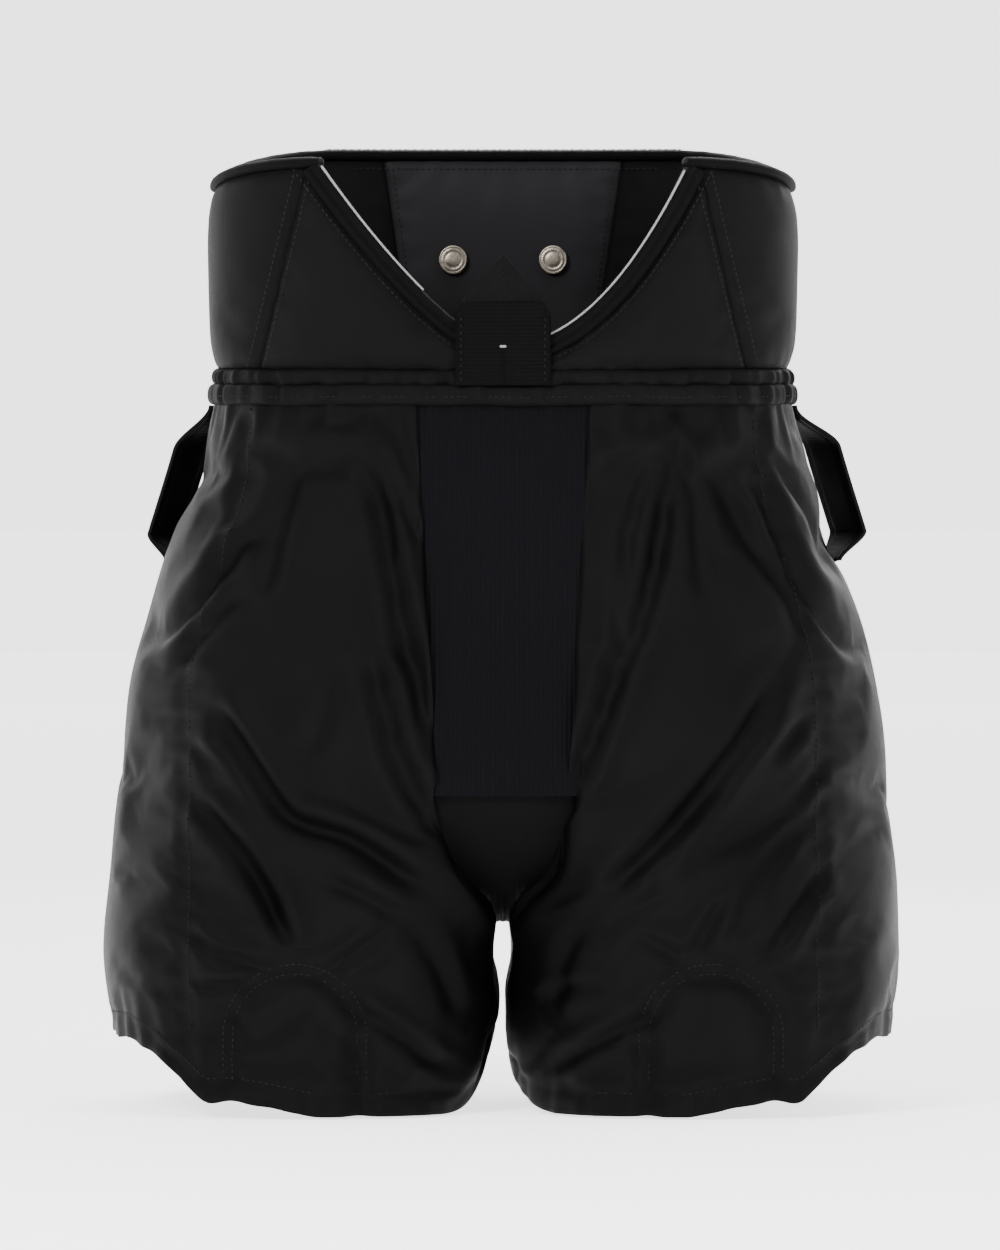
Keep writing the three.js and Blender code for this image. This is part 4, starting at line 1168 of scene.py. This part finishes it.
def buildTab():
    half, rise = tab["width"] / 2, tab["length"] - tab["shoulder"]

    def loopTop(x):
        return tab["shoulder"] + rise * (1 - np.abs(x) / half)

    def loopRelief(x, z):
        # ribs run up each leg and turn along the fold at the top
        mitre, pitch = z - tab["shoulder"], tab["ribPitch"]
        slant = np.abs(x) * 0.72 + mitre * 0.66
        ribs = 0.34 * np.cos(2 * math.pi * x / pitch) * (1 - smooth(-2, 2, mitre))
        ribs = ribs + 0.34 * np.cos(2 * math.pi * slant / pitch) * smooth(-2, 2, mitre)
        fold = 0.9 * np.exp(-((mitre + 1) / 1.4) ** 2) + 0.7 * np.exp(-((np.abs(x) - 1.2) / 1.1) ** 2)
        hem = 0.6 * (np.abs(np.abs(x) - half + 2.2) < 1.2)
        return ribs + fold * 0.6 + hem * 0.5 + 0.6 * np.sin(x / 17 + 1) * np.sin(z / 21)

    loopPiece = plate("tabLoop", half, loopTop, loopRelief, tab["front"], tab["thick"],
                      "webbing")
    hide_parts("tab_loop")
    wrapHalf, radius = tab["wrapWidth"] / 2, tab["wrapRadius"]

    def wrapTop(x):
        over = np.maximum(np.abs(x) - (wrapHalf - radius), 0)
        return tab["wrapLength"] - radius + np.sqrt(np.maximum(radius ** 2 - over ** 2, 0.3))

    def wrapRelief(x, z):
        threads = 0.75 + 0.25 * np.cos(2 * math.pi * x / 3.1)
        ribs = 0.36 * np.cos(2 * math.pi * z / tab["wrapPitch"]) * threads
        belowHead = 1 - smooth(tab["slitHeight"] - 2, tab["slitHeight"] + 3, z)
        slitLine = -1.5 * np.exp(-(x / 1.5) ** 2) * belowHead
        sewn = -0.5 * np.exp(-((np.abs(x) - wrapHalf + 4) / 1.0) ** 2)
        return ribs + slitLine + sewn + 0.9 * np.sin(x / 13 + 0.6) * smooth(0, 30, z)

    wrap = plate("tabWrap", wrapHalf, wrapTop, wrapRelief, tab["wrapFront"], tab["wrapThick"],
                 "edgeBinding")
    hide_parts("tab_wrap")
    # the bar tack at the head of the slit
    tackY, tackZ = tab["wrapFront"] - 0.5, tab["foot"] + tab["slitHeight"] + 2
    tack = loft("tabTack", lambda x, rise, depth: stack(x, tackY + depth, tackZ + rise),
                roundCord(0, 0, 0.9, 0.7, 8), np.linspace(-2.2, 2.2, 8), False, "paleCord")
    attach(tack, "pull_tab")


buildTab()
print("pull tab folded")


# Webbing loops standing off the hips
hipLoop = {"along": 0.6, "top": 471, "bottom": 369, "width": 38, "thick": 2.6, "lift": 3.0,
           "standOff": {1: 16, -1: 10}, "stripe": 6.5, "turn": 26, "run": 118, "ribPitch": 2.8,
           "hipRadius": 195}


def buildHipLoop(sign):
    name = sideName(sign)
    middle = (hipLoop["top"] + hipLoop["bottom"]) / 2
    out = outward(sign, np.array(hipLoop["along"]), np.array(float(middle)))
    turn = math.radians(hipLoop["turn"]) * sign
    side = unit(np.cross([0, 0, 1], out))
    face = out * math.cos(turn) + np.cross([0, 0, 1], out) * math.sin(turn)
    rows, columns = 90, 40
    t, w = np.meshgrid(np.linspace(-0.02, 1.02, rows), np.linspace(-0.5, 0.5, columns), indexing="ij")
    x = w * hipLoop["width"]
    z = mix(hipLoop["top"], hipLoop["bottom"], t)
    rise = smooth(0, 0.3, t) * (1 - smooth(0.86, 1.02, t))
    sag = x * x / (2 * hipLoop["hipRadius"])
    # ribs across the middle and a raised stripe along each edge
    stripeEdge = 0.5 * hipLoop["width"] - hipLoop["stripe"]
    stripe = smooth(stripeEdge - 0.6, stripeEdge + 0.6, np.abs(x))
    ribs = 0.3 * np.cos(2 * math.pi * t * hipLoop["run"] / hipLoop["ribPitch"]) * (1 - stripe) + 0.55 * stripe
    off = hipLoop["standOff"][sign] * rise + sag * (1 - rise) + ribs + hipLoop["lift"]
    # the middle of the loop turns its inner face forward
    wide = unit(np.cross([0, 0, 1], face))
    across = mix(side[None, None], wide[None, None], (rise ** 0.7)[..., None])
    turned = outside(sign, hipLoop["along"], z) + across * x[..., None]
    points = turned + out * off[..., None]
    faces = gridFaces(rows, columns)
    mid = (rows // 2) * columns + columns // 2
    flat = points.reshape(-1, 3)
    normal = np.cross(flat[mid + 1] - flat[mid], flat[mid + columns] - flat[mid])
    if np.dot(normal, out) < 0:
        faces = [f[::-1] for f in faces]
    piece = finishMesh(f"hipLoop_{name}", points, faces, gridLengths(points))
    thicken(piece, hipLoop["thick"])
    dress(piece, "webbing")
    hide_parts(f"hip_loop_{name}")
    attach(piece, "body")


for side in (1, -1):
    buildHipLoop(side)
print("hip loops ready")


# Suspender buttons: a domed cap with a pressed ring, on a stud
button = {"radius": 10, "stud": 5, "gap": 0.9, "knurls": 28, "knurlRadius": 6.9,
          "backX": 35, "backZ": 574, "frontZ": 545, "frontX": (98, 136)}


def spin(name, profile, seat, axis, relief, segments=56):
    axis = unit(np.asarray(axis, float))
    e1 = unit(np.cross(axis, [0, 0, 1]))
    e2 = np.cross(axis, e1)
    points, faces = [seat + axis * profile[0][1]], []
    for radius, height in profile[1:-1]:
        for k in range(segments):
            angle = 2 * math.pi * k / segments
            lift = relief(radius, angle)
            points.append(seat + e1 * radius * math.cos(angle) + e2 * radius * math.sin(angle)
                          + axis * (height + lift))
    points.append(seat + axis * profile[-1][1])
    rings = len(profile) - 2
    for k in range(segments):
        m = (k + 1) % segments
        faces.append((0, 1 + k, 1 + m))
        for r in range(rings - 1):
            a, b = 1 + r * segments, 1 + (r + 1) * segments
            faces.append((a + k, b + k, b + m, a + m))
        last = 1 + (rings - 1) * segments
        faces.append((last + k, len(points) - 1, last + m))
    points = np.array(points)
    return finishMesh(name, points, turnedOut(points, faces))


def buildButton(label, node, sign, x, z, back):
    along = alongAt(float(x), float(z), back)
    inward = -outward(sign, along, np.array(float(z)))
    seat = outside(sign, along, float(z)) + inward * (belt["thick"] + button["gap"])
    lift, top = button["stud"] + 0.3, button["stud"]

    def pressed(r, angle):
        ring = math.exp(-((r - button["knurlRadius"]) / 0.9) ** 2)
        return 0.16 * math.cos(button["knurls"] * angle) * ring

    # a rolled rim, a pressed ring and a low dome: radius and height over the cap's seat
    dome = [(0, 0), (8.6, 0), (9.6, 0.35), (button["radius"], 1.1), (9.7, 1.8), (9.1, 2.1), (8.5, 1.85),
            (7.9, 1.95), (7.2, 2.15), (6.6, 2.15), (5.9, 1.95), (5.3, 1.9), (4.4, 2.2), (3.0, 2.4),
            (1.5, 2.5), (0, 2.52)]
    cap = spin(f"{label}_cap", [(r, lift + rise) for r, rise in dome], seat, inward, pressed)
    smoothRounds(cap)
    shank = [(0, 0), (6.6, 0), (7, 0.3), (7, 0.9), (6.6, 1.2), (3.0, 1.3), (2.5, 1.7), (2.5, top), (0, top)]
    stud = spin(f"{label}_stud", shank, seat, inward, lambda r, angle: 0.0, 24)
    smoothRounds(stud)
    for piece, part in ((cap, "cap"), (stud, "stud")):
        dress(piece, "agedNickel")
        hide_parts(f"{node}_{part}")
        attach(piece, "body")


for side in (1, -1):
    name = sideName(side)
    buildButton(f"backButton_{name}", f"back_button_{name}", side, button["backX"], button["backZ"], True)
    for place, x in zip(("inner", "outer"), button["frontX"]):
        buildButton(f"frontButton_{name}_{place}", f"front_button_{name}_{place}", side, x,
                    button["frontZ"], False)
print("buttons set")


# Pads inside the shell
innerPads = {"low": 283, "high": 463, "outer": 13.5, "thick": 9, "margin": 0.02, "tailHalf": 62,
             "guardOuter": 16.5, "guardThick": 7, "guardStart": 0.05, "guardMargin": 0.0125,
             "guardTop": 132, "guardRise": 31}


def buildInnerPads():
    low, high, outer, thick, margin, tailHalf = (innerPads[key] for key in (
        "low", "high", "outer", "thick", "margin", "tailHalf"))
    guardStart, guardMargin = innerPads["guardStart"], innerPads["guardMargin"]

    def between(sign, start, end, bottom, top, deep):
        def place(s, t, depth):
            z = mix(bottom(s), top, t)
            return under(sign, mix(start(z), end(z), s), z, depth + deep)
        return place

    def plainPad(name, place, width, height, thickness):
        return padFrom(name, place, width, height, thickness, "padCover",
                       crown=0.0, puffed=False)

    def front(z):
        return alongAt(sideSeamX(z), z)

    def back(z):
        return alongAt(sideSeamX(z), z, True)

    for sign in (1, -1):
        name = sideName(sign)
        specs = {
            "belly": (lambda z: alongAt(knitX(z), z) + margin, lambda z: front(z) - margin, 150),
            "hip": (front, back, 200),
            "seat": (lambda z: back(z) + margin, lambda z: alongAt(float(tailHalf), z, True) - margin, 120),
        }
        for kind, (start, end, width) in specs.items():
            pad = plainPad(f"{kind}Pad_{name}", between(sign, start, end, lambda s: low, high, outer),
                           width, high - low, thick)
            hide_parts(f"{kind}_pad_{name}")
            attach(pad, "body")

        def guardLow(s):
            along = mix(guardStart, float(front(60.0)) - guardMargin, s)
            return hemHeight(outsideAngle(along)) + innerPads["guardRise"]

        guardPlace = between(sign, lambda z: guardStart + 0 * z, lambda z: front(z) - guardMargin,
                             guardLow, innerPads["guardTop"], innerPads["guardOuter"])
        guard = plainPad(f"thighGuard_{name}", guardPlace, 230, 90, innerPads["guardThick"])
        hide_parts(f"thigh_guard_{name}")
        bendShell(guard)

    def tail(s, t, depth):
        z = mix(low, high, t)
        a = alongAt(np.abs(2 * s - 1) * tailHalf + 0.05, z, True)
        return roundBody(np.where(s < 0.5, a, -a), z, depth + outer)

    pad = plainPad("tailbonePad", tail, 2 * tailHalf, high - low, thick)
    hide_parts("tailbone_pad")
    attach(pad, "body")


buildInnerPads()
print("inner pads ready")


# Elastic sewn inside the raised part of each hem
elastic = {"turns": (0.17, 0.33), "low": 4.5, "high": 15, "outer": 3.2, "inner": 5.4}


def buildElastic(sign):
    name = sideName(sign)
    corner = body["innerCorner"]
    start, end = (turn * 2 * math.pi for turn in elastic["turns"])

    def place(u, rise, depth):
        angle = mix(start, end, u)
        along = (angle + corner) / (math.pi + 2 * corner)
        z = hemHeight(angle) + rise + 0.5 * wobble(u * 200, 3, 7)
        point, normal = onShell(sign, along, z)
        return point - normal * (depth + 0.9 * wobble(u * 200, 4, 9))[..., None]

    section = ovalSection(elastic["low"], elastic["high"], elastic["outer"], elastic["inner"], 0.2, 12)
    piece = loft(f"hemElastic_{name}", place, section, np.linspace(0, 1, 120),
                 False, "edgeBinding")
    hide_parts(f"hem_elastic_{name}")
    bendShell(piece)


for side in (1, -1):
    buildElastic(side)
print("elastic sewn")


# Stitches: Geometry Nodes lay a short rounded stitch along each sewn line
stitch = {"spacing": 4.2, "length": 2.6, "radius": 0.42, "seamOffset": 0.008, "archLow": 20}


def stitchTree():
    tree = bpy.data.node_groups.new("sewnStitches", "GeometryNodeTree")
    face = tree.interface
    face.new_socket("Geometry", in_out="INPUT", socket_type="NodeSocketGeometry")
    for label, key in (("Spacing", "spacing"), ("Stitch Length", "length"), ("Thread Radius", "radius")):
        socket = face.new_socket(label, in_out="INPUT", socket_type="NodeSocketFloat")
        socket.default_value = stitch[key] * mm
    face.new_socket("Thread", in_out="INPUT", socket_type="NodeSocketMaterial")
    face.new_socket("Geometry", in_out="OUTPUT", socket_type="NodeSocketGeometry")

    def node(kind, **settings):
        made = tree.nodes.new(kind)
        for key, value in settings.items():
            setattr(made, key, value)
        return made

    source, result = node("NodeGroupInput"), node("NodeGroupOutput")
    curve = node("GeometryNodeMeshToCurve")
    resample = node("GeometryNodeResampleCurve", mode="LENGTH")
    points = node("GeometryNodeCurveToPoints", mode="EVALUATED")
    shape = node("GeometryNodeMeshIcoSphere")
    shape.inputs["Subdivisions"].default_value = 1
    shape.inputs["Radius"].default_value = 1.0
    stretch = node("ShaderNodeCombineXYZ")
    half = node("ShaderNodeMath", operation="MULTIPLY")
    half.inputs[1].default_value = 0.5
    scaled = node("GeometryNodeTransform")
    instance = node("GeometryNodeInstanceOnPoints")
    realize = node("GeometryNodeRealizeInstances")
    finish = node("GeometryNodeSetMaterial")
    for start, output, end, label in (
            (source, "Geometry", curve, "Mesh"), (curve, "Curve", resample, "Curve"),
            (source, "Spacing", resample, "Length"), (resample, "Curve", points, "Curve"),
            (source, "Stitch Length", half, 0), (source, "Thread Radius", stretch, "X"),
            (source, "Thread Radius", stretch, "Y"), (half, 0, stretch, "Z"),
            (shape, "Mesh", scaled, "Geometry"), (stretch, "Vector", scaled, "Scale"),
            (points, "Points", instance, "Points"), (scaled, "Geometry", instance, "Instance"),
            (points, "Rotation", instance, "Rotation"), (instance, "Instances", realize, "Geometry"),
            (realize, "Geometry", finish, "Geometry"), (source, "Thread", finish, "Material"),
            (finish, "Geometry", result, "Geometry")):
        tree.links.new(start.outputs[output], end.inputs[label])
    return tree


stitches = stitchTree()


def sew(name, lines):
    points, edges = [], []
    for line in lines:
        start = len(points)
        points += list(np.asarray(line, float).reshape(-1, 3))
        edges += [(k, k + 1) for k in range(start, len(points) - 1)]
    mesh = bpy.data.meshes.new(name)
    mesh.from_pydata((np.array(points) * mm).tolist(), edges, [])
    piece = bpy.data.objects.new(name, mesh)
    bpy.context.collection.objects.link(piece)
    modifier = piece.modifiers.new("stitches", "NODES")
    modifier.node_group = stitches
    sockets = {item.name: item.identifier for item in stitches.interface.items_tree
               if item.in_out == "INPUT"}
    modifier[sockets["Thread"]] = finishes["thread"]
    applyModifiers(piece)
    return piece


def archLine(radius):
    # up one side of the arch insert, over it and down the other
    angle = np.linspace(-0.15, math.pi + 0.15, 120)
    spring, leg = arch["spring"], 230
    over = np.clip(angle, 0, math.pi)
    x = arch["centre"] + radius * np.cos(over)
    z = np.where(angle < 0, spring + angle * leg,
                 np.where(angle > math.pi, spring - (angle - math.pi) * leg, spring + radius * np.sin(over)))
    keep = z > stitch["archLow"]
    return x[keep], z[keep]


def buildStitches():
    for sign in (1, -1):
        name = sideName(sign)
        z = np.linspace(60, 472, 200)
        seams = (alongAt(sideSeamX(z), z), alongAt(sideSeamX(z), z, True))
        lines = [onShell(sign, seam - stitch["seamOffset"], z, 0.2)[0] for seam in seams]
        along = np.linspace(0.07, 0.97, 300)
        low = hemHeight(outsideAngle(along))
        lines.append(onShell(sign, along, low + hemline["stitchLine"], 0.25)[0])
        for radius in (arch["radius"], arch["radius"] + arch["seamGap"]):
            x, z = archLine(radius)
            lines.append(onShell(sign, alongAt(x, z), z, 0.25)[0])
        piece = sew(f"shellStitches_{name}", lines)
        bendShell(piece)
    turn = np.linspace(-1, 1, 900)
    lines = [roundBody(turn, 480.5 + 0.5 * wobble(turn * 560, 9, 75), -4.4)]
    for sign in (1, -1):
        z = np.linspace(502, 628, 70)
        for offset in (-5.5, 5.5):
            lines.append(under(sign, alongAt(beltSeamX(z) + offset, z), z, -1.0))
        shares = np.linspace(0.06, 1.0, 120)
        x, height = notchCurve(sign, shares, 15.5)
        lines.append(under(sign, alongAt(x, height), height, -0.4))
    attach(sew("beltStitches", lines), "body")
    inner = []
    for sign in (1, -1):
        z = np.linspace(505, 636, 70)
        inner.append(under(sign, alongAt(beltBackX(z) - 4, z, True), z, 13.4))
        inner.append(under(sign, alongAt(beltBackX(z) + 4, z, True), z, 0.2))
    along, turn = pastBack(np.linspace(0.83, 1.17, 120))
    inner.append(roundBody(turn, beltTop(along) - 13, 13.4))
    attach(sew("backStitches", inner), "body")
    tabHalf = tab["wrapWidth"] / 2 - 4
    foot = tab["foot"]
    height = np.linspace(4, 44, 30)
    rows = [stack(s * tabHalf, tab["wrapFront"] - 0.5, foot + height) for s in (-1, 1)]
    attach(sew("tabStitches", rows), "pull_tab")


buildStitches()
print("stitches sewn")


print("all pieces made")
